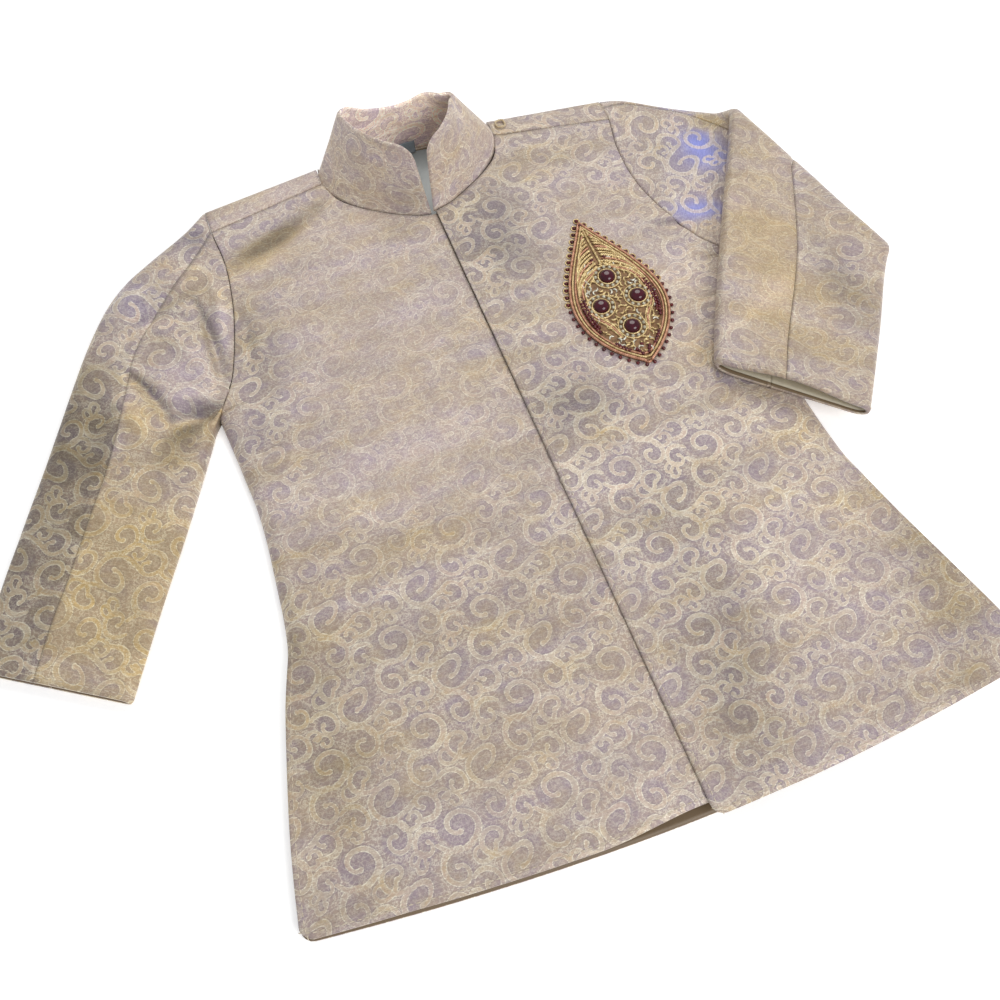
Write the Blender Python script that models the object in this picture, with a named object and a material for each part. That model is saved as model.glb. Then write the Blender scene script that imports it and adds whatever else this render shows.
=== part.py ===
"""A toddler's sherwani coat laid flat on its back, one sleeve folded over the chest.

X runs to the wearer's left, Y from the hem to the collar and Z up from the surface the coat lies on.
The tables below are in millimetres, with Y counted from the back hem. The origin of the model is on
the surface, on the centre back line, ORIGIN_Y above the back hem.
"""

import math

import bmesh
import bpy
import numpy as np
from mathutils.bvhtree import BVHTree

MM = 0.001
ORIGIN_Y = 200.0

# ---- driving sizes of the coat ---------------------------------------------------------------
WALL = 2.8  # brocade, interlining and lining together
SEAM_GAP = 0.35  # clear distance between two sewn pieces
LAY_HEIGHT = 9.4  # top of the front panels above the surface
SHOULDER_FOLD_RADIUS = LAY_HEIGHT / 2
CENTRE_EDGE_X = 2.0  # visible edge of the upper front panel
UNDERLAP = 20.0  # how far the lower front runs on under the upper one
OVERLAP_SLOPE = 38.0  # width over which the upper front comes down beside the underlap
HEM_LIFT = 0.6  # the fronts rise a little more towards the middle of the hem
HEM_LIFT_X = 110.0
HEM_LIFT_Y = 70.0
SIDE_ROUND = 9.0  # how far in from the side seam the front has turned level
SLIT_SLOPE = 48.0  # the same below the slit, where the front's edge lies on the back
SLIT_FADE = 14.0  # length over which the side turns from sewn to open
ARMHOLE_REACH = 22.0  # how far in from the armhole the front follows its height
ARMPIT_REACH = 3.0  # the same at the armpit
NECK_HALF = 52.0
SLIT_TOP_Y = 138.0
ARMPIT_Y = 268.0

# half widths of the body from the centre line to the wearer's right and left
SIDE_COLUMNS = ("y", "right", "left")
SIDE_TABLE = (
    (12.0, 178.0, 175.0),
    (38.0, 173.5, 168.5),
    (64.0, 168.0, 161.0),
    (107.0, 157.0, 148.5),
    (SLIT_TOP_Y, 147.5, 141.5),
    (173.0, 143.5, 138.5),
    (206.0, 141.5, 138.5),
    (236.0, 143.0, 141.5),
    (ARMPIT_Y, 145.5, 145.0),
)
# the armhole seam, from the armpit up to the forward shoulder seam
ARMHOLE_COLUMNS = ("y", "right", "left")
ARMHOLE_TABLE = (
    (ARMPIT_Y, 145.5, 145.0),
    (275.5, 139.5, 138.5),
    (288.0, 132.5, 129.5),
    (310.0, 125.5, 120.5),
    (335.0, 120.0, 114.5),
    (360.0, 117.5, 114.5),
    (384.0, 119.0, 119.0),
)
# the front neckline, from the centre to the shoulder seam
NECKLINE_COLUMNS = ("x", "y")
NECKLINE_TABLE = (
    (0.0, 353.0),
    (13.0, 357.0),
    (26.0, 364.0),
    (38.0, 372.5),
    (47.0, 382.0),
    (NECK_HALF, 396.0),
)

SHOULDER_FOLD = {"neck": (NECK_HALF, 409.5), "tip": (119.0, 401.0)}
SHOULDER_SEAM_Y = {"neck": 396.0, "tip": 384.0}
BACK_NECK_Y = 409.5

HEM_RISE = 12.0  # the side corners of the hem sit this much higher than its centre
HEM_CORNER_X = 176.0
HEM_CURVE = 1.9
UNDER_FRONT_HEM_Y = 0.4
UNDER_FRONT_LIFT = 3.6  # the lower front's hem is drawn up towards its centre edge
UNDER_FRONT_LIFT_X = 50.0
UPPER_FRONT_HEM_Y = -3.0

# soft troughs pressed into the front and the sleeve: ends, depth and half width of each
FRONT_TROUGHS = (
    ((-62.0, 376.0), (-116.0, 350.0), 3.2, 9.0),
    ((-106.0, 318.0), (-128.0, 262.0), 1.2, 7.0),
    ((60.0, 372.0), (104.0, 338.0), 0.9, 8.0),
    ((40.0, 226.0), (128.0, 232.0), 0.9, 12.0),
    ((-40.0, 190.0), (-130.0, 214.0), 0.8, 13.0),
)
RIGHT_SLEEVE_TROUGHS = (
    ((-139.0, 338.0), (-141.0, 288.0), 2.2, 6.0),
    ((-181.0, 308.0), (-154.0, 240.0), 3.0, 6.5),
    ((-150.0, 352.0), (-184.0, 330.0), 1.6, 7.0),
)


def table_columns(columns, table, *names):
    """The named columns of a table, side by side."""
    return np.array([[row[columns.index(name)] for name in names] for row in table], float)


def smooth(value):
    value = np.clip(value, 0.0, 1.0)
    return value * value * (3.0 - 2.0 * value)


def quarter_round(value):
    """Rises from 0 to 1 as a quarter circle does."""
    value = np.clip(value, 0.0, 1.0)
    return np.sqrt(np.clip(1.0 - (1.0 - value) ** 2, 0.0, 1.0))


def reach_along(points):
    """The share of a polyline's length at each of its points."""
    steps = np.linalg.norm(np.diff(points, axis=0), axis=1)
    return np.concatenate([[0.0], np.cumsum(steps)]) / steps.sum()


def along(points, shares):
    """Points at the given shares of a polyline's length."""
    points = np.asarray(points, float)
    reach = reach_along(points)
    return np.stack([np.interp(shares, reach, column) for column in points.T], axis=1)


def rounded_path(points, samples=60):
    """A smooth curve through the points (Catmull-Rom), as a fine polyline."""
    points = np.asarray(points, float)
    ends = np.vstack([2 * points[0] - points[1], points, 2 * points[-1] - points[-2]])
    found = []
    for index in range(len(points) - 1):
        before, start, end, after = ends[index : index + 4]
        for step in np.linspace(0.0, 1.0, samples // (len(points) - 1) + 2)[:-1]:
            found.append(
                0.5
                * (
                    2 * start
                    + (end - before) * step
                    + (2 * before - 5 * start + 4 * end - after) * step**2
                    + (3 * start - before - 3 * end + after) * step**3
                )
            )
    return np.vstack([found, points[-1]])


def trough_depth(x, y, troughs):
    """How far the cloth is pressed down at a place by the troughs of the table."""
    total = np.zeros_like(x)
    for start, end, depth, half_width in troughs:
        start, end = np.asarray(start), np.asarray(end)
        run = end - start
        share = ((x - start[0]) * run[0] + (y - start[1]) * run[1]) / run.dot(run)
        held = np.clip(share, 0.0, 1.0)
        far = np.hypot(x - start[0] - held * run[0], y - start[1] - held * run[1])
        taper = 0.35 + 0.65 * np.sin(np.pi * np.clip(held, 0.04, 0.96))
        total += depth * taper * np.exp(-((far / half_width) ** 2))
    return total


# ---- meshes ----------------------------------------------------------------------------------
def normals_of(grid):
    rows = np.gradient(grid, axis=0)
    columns = np.gradient(grid, axis=1)
    normal = np.cross(columns, rows)
    return normal / np.linalg.norm(normal, axis=2, keepdims=True)


def add_object(name, mesh_points, faces, colour, roughness=0.6, metallic=0.0):
    mesh = bpy.data.meshes.new(name)
    points = np.asarray(mesh_points, float) - (0.0, ORIGIN_Y, 0.0)
    mesh.from_pydata([tuple(point * MM) for point in points], [], faces)
    work = bmesh.new()
    work.from_mesh(mesh)
    bmesh.ops.recalc_face_normals(work, faces=work.faces)
    work.to_mesh(mesh)
    work.free()
    mesh.shade_smooth()
    mesh.set_sharp_from_angle(angle=math.radians(50))
    made = bpy.data.objects.new(name, mesh)
    bpy.context.scene.collection.objects.link(made)
    material = bpy.data.materials.new(name)
    material.use_nodes = True
    shader = material.node_tree.nodes["Principled BSDF"]
    shader.inputs["Base Color"].default_value = (*colour, 1.0)
    shader.inputs["Roughness"].default_value = roughness
    shader.inputs["Metallic"].default_value = metallic
    mesh.materials.append(material)
    return made


def wall_between(name, outer, inner, colour, roughness=0.6):
    """One closed wall between two grids of the same size."""
    rows, columns = outer.shape[:2]
    count = rows * columns
    index = np.arange(count).reshape(rows, columns)
    faces = []
    for row in range(rows - 1):
        for column in range(columns - 1):
            corners = (
                index[row, column],
                index[row, column + 1],
                index[row + 1, column + 1],
                index[row + 1, column],
            )
            faces.append([int(corner) for corner in corners])
            faces.append([int(corner) + count for corner in reversed(corners)])
    rim = list(index[0]) + list(index[1:, -1]) + list(index[-1, -2::-1]) + list(index[-2:0:-1, 0])
    for here, there in zip(rim, rim[1:] + rim[:1]):
        faces.append([int(there), int(here), int(here) + count, int(there) + count])
    points = np.vstack([outer.reshape(-1, 3), inner.reshape(-1, 3)])
    return add_object(name, points, faces, colour, roughness)


def filled(bottom, top, left, right):
    """A Coons patch: a grid of plan points stretched between four edges that share their corners."""
    v = reach_along(right)[:, None, None]
    u = reach_along(bottom)[None, :, None]
    across = (1 - v) * bottom[None] + v * top[None]
    upward = (1 - u) * left[:, None] + u * right[:, None]
    low_corners = (1 - u) * bottom[0] + u * bottom[-1]
    high_corners = (1 - u) * top[0] + u * top[-1]
    return across + upward - (1 - v) * low_corners - v * high_corners


# ---- outlines --------------------------------------------------------------------------------
def outer_edge(side):
    """The side seam and the armhole of one half, as a polyline from the hem to the shoulder."""
    sign = -1.0 if side == "right" else 1.0
    seam = table_columns(SIDE_COLUMNS, SIDE_TABLE, side, "y")
    hole = table_columns(ARMHOLE_COLUMNS, ARMHOLE_TABLE, side, "y")
    return rounded_path(seam) * (sign, 1.0), rounded_path(hole) * (sign, 1.0)


ARMHOLE_SHARES = np.array([0.0, 0.025, 0.065, 0.12, 0.22, 0.35, 0.5, 0.65, 0.8, 0.9, 1.0])
SLIT_ROWS = 7
SIDE_ROWS = 6
ARMPIT_ROW = SLIT_ROWS + SIDE_ROWS
ARMHOLE_LENGTH = 128.0  # along the seam from the armpit to the shoulder seam
ARMPIT_ROUND = 15.0  # how far up the armhole the front has risen to its full height
SIDE_SEAM_Z = WALL + SEAM_GAP  # where the front's outer face ends, on the back's edge
SLIT_EDGE_Z = 2 * WALL + 2 * SEAM_GAP


def edge_rows(side):
    """Points of the outer edge that every piece beside it shares."""
    seam, hole = outer_edge(side)
    split = np.argmin(np.abs(seam[:, 1] - SLIT_TOP_Y))
    below = along(seam[: split + 1], np.linspace(0.0, 1.0, SLIT_ROWS + 1))[:-1]
    beside = along(seam[split:], np.linspace(0.0, 1.0, SIDE_ROWS + 1))[:-1]
    return np.vstack([below, beside, along(hole, ARMHOLE_SHARES)])


def hem_y(x, centre_y):
    return centre_y + (HEM_RISE - centre_y) * np.abs(x / HEM_CORNER_X) ** HEM_CURVE


def armhole_height(share):
    return SIDE_SEAM_Z + (LAY_HEIGHT - SIDE_SEAM_Z) * quarter_round(share * ARMHOLE_LENGTH / ARMPIT_ROUND)


def overlap_rise(x, upper):
    """How much higher the upper front lies, where the lower one runs on under it."""
    if not upper:
        return np.zeros_like(x)
    return (WALL + SEAM_GAP) * smooth((CENTRE_EDGE_X + UNDERLAP + OVERLAP_SLOPE - x) / OVERLAP_SLOPE)


def lay_of_front(grid, upper):
    """Height of a front panel's outer face over its plan points."""
    x, y = grid[:, :, 0], grid[:, :, 1]
    edge = grid[:, -1:, :]
    inward = np.hypot(x - edge[:, :, 0], y - edge[:, :, 1])
    high = LAY_HEIGHT + overlap_rise(x, upper)
    high = high + HEM_LIFT * smooth((HEM_LIFT_Y - y) / HEM_LIFT_Y) * smooth(1.0 - np.abs(x) / HEM_LIFT_X)
    high = high - trough_depth(x, y, FRONT_TROUGHS)
    turned = SIDE_SEAM_Z + (high - SIDE_SEAM_Z) * quarter_round(inward / SIDE_ROUND)
    flared = SLIT_EDGE_Z + (high - SLIT_EDGE_Z) * smooth(inward / SLIT_SLOPE) ** 0.8
    open_slit = smooth((SLIT_TOP_Y - edge[:, :, 1]) / SLIT_FADE)
    height = turned * (1 - open_slit) + flared * open_slit
    shares = np.concatenate([np.zeros(ARMPIT_ROW), ARMHOLE_SHARES])[:, None]
    at_armhole = armhole_height(shares) + (high - LAY_HEIGHT) * smooth(shares * 8.0)
    reach = np.where(shares > 0.0, ARMHOLE_REACH, ARMPIT_REACH)
    near_armhole = 1 - smooth(inward / reach)
    near_armhole = near_armhole * (np.arange(len(grid))[:, None] >= ARMPIT_ROW)
    level = at_armhole * near_armhole + high * (1 - near_armhole)
    above = (np.arange(len(grid))[:, None] > ARMPIT_ROW) * np.ones_like(height)
    return height * (1 - above) + level * above


def shoulder_seam(side):
    sign = -1.0 if side == "right" else 1.0
    return np.array([(sign * NECK_HALF, SHOULDER_SEAM_Y["neck"]), (sign * 119.0, SHOULDER_SEAM_Y["tip"])])


FRONT_SHARES = np.concatenate(
    [np.linspace(0.0, 0.42, 6), [0.52, 0.62, 0.71, 0.79, 0.86, 0.92, 0.96, 0.984, 0.995, 1.0]]
)
NECK_COLUMN = 6  # the column of the front that ends at the neck end of the shoulder seam


def front_plan(side, upper):
    """Plan points of one front, from its centre edge to its side and armhole."""
    sign = -1.0 if side == "right" else 1.0
    centre_y = UPPER_FRONT_HEM_Y if upper else UNDER_FRONT_HEM_Y
    centre_x = CENTRE_EDGE_X if upper else CENTRE_EDGE_X + UNDERLAP
    right = edge_rows(side)
    hem_x = centre_x + (right[0, 0] - centre_x) * FRONT_SHARES
    bottom = np.stack([hem_x, hem_y(hem_x, centre_y)], 1)
    if not upper:
        bottom[:, 1] += UNDER_FRONT_LIFT * smooth(1 - np.abs(hem_x) / UNDER_FRONT_LIFT_X)
    bottom[-1] = right[0]
    half_neck = table_columns(NECKLINE_COLUMNS, NECKLINE_TABLE, "x", "y") * (sign, 1.0)
    if upper:
        neck = rounded_path(half_neck)
        neck[0, 0] = centre_x
    else:
        neck = rounded_path(np.vstack([[(centre_x, 362.0), (11.0, 356.0)], half_neck]))
    neck_shares = FRONT_SHARES[: NECK_COLUMN + 1] / FRONT_SHARES[NECK_COLUMN]
    seam_shares = (FRONT_SHARES[NECK_COLUMN:] - FRONT_SHARES[NECK_COLUMN]) / (1 - FRONT_SHARES[NECK_COLUMN])
    seam = shoulder_seam(side)
    top = np.vstack([along(neck, neck_shares)[:-1], along(seam, seam_shares)])
    steps = np.concatenate([[0.0], np.cumsum(np.linalg.norm(np.diff(right, axis=0), axis=1))])
    left = along(np.array([bottom[0], top[0]]), steps / steps[-1])
    top[-1] = right[-1]
    return filled(bottom, top, left, right)


def pulled_in(plan, by):
    """Moves the two outer edges of a plan grid inwards, to leave room at the seams."""
    plan = plan.copy()
    inward = plan[:, -2] - plan[:, -1]
    plan[:, -1] += by * inward / np.linalg.norm(inward, axis=1, keepdims=True)
    down = plan[-2] - plan[-1]
    plan[-1] += by * down / np.linalg.norm(down, axis=1, keepdims=True)
    return plan


def make_front(side, upper, colour):
    plan = front_plan(side, upper)
    height = lay_of_front(plan, upper)
    plan = pulled_in(plan, SEAM_GAP / 2)
    outer = np.dstack([plan, height])
    inner = outer - normals_of(outer) * (WALL if side == "left" else -WALL)
    inner[:, :, 2] = np.maximum(inner[:, :, 2], SIDE_SEAM_Z)
    return wall_between("front_" + side, outer, inner, colour)


# ---- back ------------------------------------------------------------------------------------
BACK_NECK_COLUMNS = 5
BACK_SHOULDER_COLUMNS = 7
NECK_SHARE = 0.42  # share of the half hem below the neck columns
WRAP_ROWS = 12
WRAP_ROWS_START = 0.93  # share of the centre line at which the rows of the shoulder turn begin
WRAP = math.pi * SHOULDER_FOLD_RADIUS
# the edge of the back beside the neck, as it is cut, before it is turned over the shoulder
BACK_NECK_XY = ("x", "above_centre")
BACK_NECK_TABLE = ((0.0, 0.0), (26.0, 0.0), (40.0, -0.5), (48.0, 1.0), (NECK_HALF, 7.5))
FLAT_NECK = 8.0  # how much further back the turn lies beside the neck
FLAT_NECK_X = (43.0, 51.0)


def fold_y(x):
    """The line at which the back turns up over the shoulders."""
    (x_neck, y_neck), (x_tip, y_tip) = SHOULDER_FOLD["neck"], SHOULDER_FOLD["tip"]
    slope = (y_tip - y_neck) * np.clip((np.abs(x) - x_neck) / (x_tip - x_neck), 0.0, 1.0)
    low, high = FLAT_NECK_X
    flat_neck = FLAT_NECK * (1 - smooth((np.abs(x) - low) / (high - low)))
    return y_neck + slope + flat_neck - SHOULDER_FOLD_RADIUS


def rolled_over_shoulder(plan):
    """Lays the flat back down and turns what lies past the fold line up and forward."""
    x, y = plan[:, :, 0], plan[:, :, 1]
    past = y - fold_y(x)
    angle = np.clip(past / SHOULDER_FOLD_RADIUS, 0.0, math.pi)
    beyond = np.clip(past - WRAP, 0.0, None)
    turned_y = fold_y(x) + SHOULDER_FOLD_RADIUS * np.sin(angle) - beyond
    turned_z = SHOULDER_FOLD_RADIUS * (1 - np.cos(angle))
    on_floor = past <= 0
    return np.dstack([x, np.where(on_floor, y, turned_y), np.where(on_floor, 0.0, turned_z)])


def half_back(side):
    """Plan points of one half of the back, from the centre line to the side, not yet turned."""
    sign = -1.0 if side == "right" else 1.0
    neck_shares = np.linspace(0.0, NECK_SHARE, BACK_NECK_COLUMNS + 1)
    shares = np.concatenate([neck_shares, np.linspace(NECK_SHARE, 1.0, BACK_SHOULDER_COLUMNS + 1)[1:]])
    edge = edge_rows(side)
    tip = np.array([sign * SHOULDER_FOLD["tip"][0], fold_y(SHOULDER_FOLD["tip"][0])])
    tip_reach = 2 * tip[1] + WRAP - SHOULDER_SEAM_Y["tip"] - SEAM_GAP
    neck_reach = 2 * fold_y(NECK_HALF) + WRAP - SHOULDER_SEAM_Y["neck"] - SEAM_GAP
    turn = along([tip, (tip[0], tip_reach)], np.linspace(0, 1, WRAP_ROWS + 1))[1:]
    right = np.vstack([edge, turn])
    hem_x = right[0, 0] * shares
    bottom = np.stack([hem_x, hem_y(hem_x, 0.0)], axis=1)
    neck = table_columns(BACK_NECK_XY, BACK_NECK_TABLE, "x", "above_centre") * (sign, 1.0)
    neck = neck + (0.0, BACK_NECK_Y)
    neck = np.vstack([neck, (sign * NECK_HALF, neck_reach)])
    top_neck = along(neck, np.linspace(0, 1, BACK_NECK_COLUMNS + 1))
    top_seam = along([neck[-1], right[-1]], np.linspace(0, 1, BACK_SHOULDER_COLUMNS + 1))
    top = np.vstack([top_neck[:-1], top_seam])
    low_rows = np.linspace(0.0, WRAP_ROWS_START, len(edge))
    high_rows = np.linspace(WRAP_ROWS_START, 1.0, WRAP_ROWS + 1)[1:]
    left = along([bottom[0], top[0]], np.concatenate([low_rows, high_rows]))
    plan = filled(bottom, top, left, right)
    inward = plan[:, -2] - plan[:, -1]
    plan[:, -1] += SEAM_GAP / 2 * inward / np.linalg.norm(inward, axis=1, keepdims=True)
    return plan


def make_back(colour):
    whole = np.concatenate([half_back("right")[:, :0:-1], half_back("left")], axis=1)
    outer = rolled_over_shoulder(whole)
    return wall_between("back", outer, outer + normals_of(outer) * WALL, colour)


# ---- sleeves ---------------------------------------------------------------------------------
# A sleeve is a flattened tube. Each row runs across it from its outer fold to its inner one, and both
# folds are paths in plan. The wearer's left sleeve is first laid out straight and then folded over.
SLEEVE_PATHS = {
    "right outer": (
        (-119.3, 401.0),
        (-133.0, 391.0),
        (-155.0, 379.0),
        (-171.0, 369.0),
        (-186.0, 354.0),
        (-203.0, 328.0),
        (-222.0, 293.0),
        (-243.0, 255.0),
        (-264.0, 217.0),
        (-284.5, 178.0),
    ),
    "right inner": ((-145.6, 268.6), (-157.0, 246.0), (-175.0, 214.0), (-197.0, 177.0), (-220.0, 137.0)),
    "left outer": (
        (119.3, 401.0),
        (133.0, 397.5),
        (151.0, 386.5),
        (168.0, 376.5),
        (186.0, 366.5),
        (217.0, 347.5),
        (267.0, 318.5),
        (319.0, 287.5),
        (346.0, 270.0),
    ),
    "left inner": ((145.8, 268.6), (180.0, 253.5), (233.0, 235.0), (274.0, 215.0), (321.0, 193.0)),
}
# rows of each sleeve: shares of the outer and inner paths, how much higher than the front the flat tube
# lies, and where the two lengthwise seams cross the row
SLEEVE_COLUMNS = ("outer", "inner", "rise", "front_seam", "back_seam")
SLEEVE_ROWS = {
    "right": (
        (0.0, 0.0, 0.0, 0.117, 0.30),
        (0.05, 0.05, 0.1, 0.14, 0.31),
        (0.10, 0.10, 0.1, 0.17, 0.32),
        (0.16, 0.16, 0.1, 0.21, 0.33),
        (0.22, 0.22, 0.1, 0.26, 0.35),
        (0.28, 0.28, 0.1, 0.31, 0.37),
        (0.34, 0.34, 0.0, 0.36, 0.40),
        (0.40, 0.40, -0.2, 0.39, 0.42),
        (0.50, 0.49, -0.5, 0.41, 0.44),
        (0.60, 0.58, -0.8, 0.41, 0.46),
        (0.70, 0.68, -1.1, 0.405, 0.475),
        (0.80, 0.79, -1.4, 0.40, 0.485),
        (0.90, 0.90, -1.7, 0.39, 0.49),
        (0.97, 0.97, -1.9, 0.39, 0.49),
        (1.0, 1.0, -2.0, 0.39, 0.49),
    ),
    "left": (
        (0.0, 0.0, 0.0, 0.045, 0.30),
        (0.05, 0.07, -0.1, 0.035, 0.31),
        (0.11, 0.16, -0.2, 0.03, 0.33),
        (0.17, 0.26, -0.3, 0.04, 0.35),
        (0.225, 0.345, -0.4, 0.11, 0.365),
        (0.25, 0.38, -0.4, 0.16, 0.375),
        (0.265, 0.40, -0.4, 0.185, 0.38),
        (0.28, 0.42, -0.4, 0.205, 0.385),
        (0.295, 0.44, -0.4, 0.22, 0.39),
        (0.31, 0.46, -0.4, 0.235, 0.395),
        (0.33, 0.485, -0.4, 0.25, 0.40),
        (0.35, 0.51, -0.4, 0.265, 0.41),
        (0.40, 0.56, -0.4, 0.29, 0.43),
        (0.48, 0.62, -0.3, 0.32, 0.455),
        (0.58, 0.70, -0.2, 0.34, 0.475),
        (0.69, 0.78, -0.1, 0.355, 0.475),
        (0.80, 0.86, 0.0, 0.365, 0.465),
        (0.90, 0.93, 0.1, 0.37, 0.455),
        (0.97, 0.98, 0.1, 0.37, 0.447),
        (1.0, 1.0, 0.1, 0.37, 0.445),
    ),
}
SLEEVE_FOLD = {"start": (179.5, 363.0), "end": (213.0, 239.5)}  # where the left sleeve turns back
FOLDED_HEIGHT = LAY_HEIGHT - 0.4  # of the tube at that turn
FOLDED_CLEARANCE = 1.2  # between the forearm and what it lies on
FOLD_MIDDLE_Z = (LAY_HEIGHT + FOLDED_CLEARANCE + FOLDED_HEIGHT) / 2
SLEEVE_START = 1.1  # how far beyond the armhole's line a sleeve starts
ARMHOLE_FADE = 0.35  # share of the sleeve over which the armhole's curve fades out, at the shoulder
ARMPIT_FADE = 0.06  # and at the armpit
SETTLE_SHARE = 0.18  # share of the sleeve by which its section no longer follows the armhole
FOLD_HEIGHT_SHARE = 0.45  # height of a settled fold's edge over the height of the tube
UPPER_ROUND = {"outer": 12.0, "inner": 9.0}  # how far in from each fold the upper layer is level
LOWER_ROUND = 5.0


def armhole_of_sleeve(side):
    """The whole armhole of one side in plan, from the shoulder fold down to the armpit."""
    sign = -1.0 if side == "right" else 1.0
    x_tip, y_tip = SHOULDER_FOLD["tip"]
    return np.vstack([[(sign * x_tip, y_tip)], outer_edge(side)[1][::-1]])


def fold_over(points):
    """Turns what lies past the sleeve's fold line up and back over the rest."""
    start, end = np.array(SLEEVE_FOLD["start"]), np.array(SLEEVE_FOLD["end"])
    line = (end - start) / np.linalg.norm(end - start)
    outward = np.array([-line[1], line[0]])
    past = (points[..., :2] - start) @ outward
    middle = FOLD_MIDDLE_Z - FOLDED_HEIGHT / 2
    angle = np.clip(past / middle, 0.0, math.pi)
    radius = FOLD_MIDDLE_Z - points[..., 2]
    reach = radius * np.sin(angle) - np.clip(past - math.pi * middle, 0.0, None)
    turned = points.copy()
    turned[..., :2] += (reach - past)[..., None] * outward
    turned[..., 2] = FOLD_MIDDLE_Z - radius * np.cos(angle)
    return np.where((past > 0)[..., None], turned, points)


class Sleeve:
    """Plan paths and cross-sections of one sleeve."""

    def __init__(self, side):
        self.side = side
        self.rows = np.array(SLEEVE_ROWS[side])
        self.outer = along(rounded_path(SLEEVE_PATHS[side + " outer"]), self.column("outer")[:, 0])
        self.inner = along(rounded_path(SLEEVE_PATHS[side + " inner"]), self.column("inner")[:, 0])
        self.armhole = armhole_of_sleeve(side)
        self.width = np.linalg.norm(self.outer - self.inner, axis=1)[:, None]

    def column(self, name):
        return self.rows[:, SLEEVE_COLUMNS.index(name)][:, None]

    def plan(self, shares):
        """Plan points for shares across each row, 0 at the outer fold and 1 at the inner one."""
        across = shares[..., None]
        straight = (1 - across) * self.outer[:, None] + across * self.inner[:, None]
        from_start = (1 - across) * self.outer[0] + across * self.inner[0]
        curve = along(self.armhole, shares.ravel()).reshape(*shares.shape, 2)
        reach = ARMHOLE_FADE * np.clip(1 - shares, 0.0, 1.0) ** 0.7 + ARMPIT_FADE
        fade = 1 - smooth(self.column("outer") / reach)
        points = straight + fade[..., None] * (curve - from_start)
        run = along(self.armhole, np.clip(shares[0] + 0.01, 0.0, 1.0))
        run = run - along(self.armhole, np.clip(shares[0] - 0.01, 0.0, 1.0))
        away = np.stack([-run[:, 1], run[:, 0]], axis=1)
        away *= np.sign(away[:, :1]) * np.sign(self.armhole[0, 0])
        points[0] += SLEEVE_START * away / np.linalg.norm(away, axis=1, keepdims=True)
        return points

    def layer(self, from_fold, to_fold, depth, upper):
        """Heights of the upper or lower layer, at a depth inside the tube's outer face."""
        settle = smooth(self.column("outer") / SETTLE_SHARE)
        height = LAY_HEIGHT + self.column("rise")
        settled_fold = FOLD_HEIGHT_SHARE * height
        level = height - depth if upper else depth + 0 * height
        folds = (
            (from_fold, SHOULDER_FOLD_RADIUS, SHOULDER_FOLD_RADIUS, SHOULDER_FOLD_RADIUS, "outer"),
            (to_fold, SIDE_SEAM_Z, ARMPIT_ROUND, SIDE_SEAM_Z, "inner"),
        )
        for distance, start_z, upper_start, lower_start, name in folds:
            fold_z = start_z * (1 - settle) + settled_fold * settle
            start_round = upper_start if upper else lower_start
            settled_round = UPPER_ROUND[name] if upper else LOWER_ROUND
            turn = np.maximum(start_round * (1 - settle) + settled_round * settle - depth, 0.4)
            top = height - depth if upper else depth
            level = level - (top - fold_z) * (1 - quarter_round(distance / turn))
        return level

    def strip(self, front, back, depth, troughs=()):
        """Points of a lengthwise strip, at a depth inside the tube's outer face.

        front and back are the shares of each row at which it starts on the upper layer and ends on the
        lower one. It passes round the outer fold if they grow from it, and else round the inner one.
        """
        shares = np.concatenate([front, back], axis=1)
        room = self.width - 2 * depth
        from_fold, to_fold = shares * room, (1 - shares) * room
        split = front.shape[1]
        height = np.concatenate(
            [
                self.layer(from_fold[:, :split], to_fold[:, :split], depth, True),
                self.layer(from_fold[:, split:], to_fold[:, split:], depth, False),
            ],
            axis=1,
        )
        plan = self.plan((depth + from_fold) / self.width)
        height[:, :split] -= trough_depth(plan[:, :split, 0], plan[:, :split, 1], troughs)
        points = np.dstack([plan, height])
        return fold_over(points) if self.side == "left" else points

    def pieces(self):
        """The shares of the outer and the inner lengthwise piece, on the upper and the lower layer."""
        gap = SEAM_GAP / 2 / self.width
        front_seam, back_seam = self.column("front_seam"), self.column("back_seam")
        yield "outer", (front_seam - gap) * TOWARDS_FOLD, (back_seam - gap) * OUTER_UNDER
        inner_front = front_seam + gap + (1 - front_seam - gap) * INNER_TOP
        inner_back = back_seam + gap + (1 - back_seam - gap) * INNER_UNDER
        yield "inner", inner_front, inner_back


TOWARDS_FOLD = np.array([1.0, 0.86, 0.70, 0.52, 0.34, 0.20, 0.10, 0.035, 0.0])
OUTER_UNDER = np.array([0.02, 0.10, 0.25, 0.55, 1.0])
INNER_TOP = np.concatenate([np.linspace(0.0, 0.5, 5), [0.62, 0.72, 0.80, 0.87, 0.925, 0.962, 0.985, 0.996]])
INNER_UNDER = np.array([1.0, 0.988, 0.962, 0.925, 0.87, 0.78, 0.65, 0.45, 0.22, 0.0])


def make_sleeve(side, troughs, colour):
    sleeve = Sleeve(side)
    for name, front, back in sleeve.pieces():
        faces = [sleeve.strip(front, back, depth, troughs) for depth in (0.0, WALL)]
        wall_between("sleeve_" + side + "_" + name, *faces, colour)


def make_cuff_lining(colour):
    """The lining inside the mouth of the folded sleeve, cut in two like the sleeve itself."""
    sleeve = Sleeve("left")
    shallow = WALL + LINING_CLEARANCE
    for name, front, back in sleeve.pieces():
        faces = [
            sleeve.strip(front, back, depth)[-CUFF_LINING_ROWS:] for depth in (shallow, shallow + LINING)
        ]
        wall_between("cuff_lining_" + name, *faces, colour)


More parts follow.
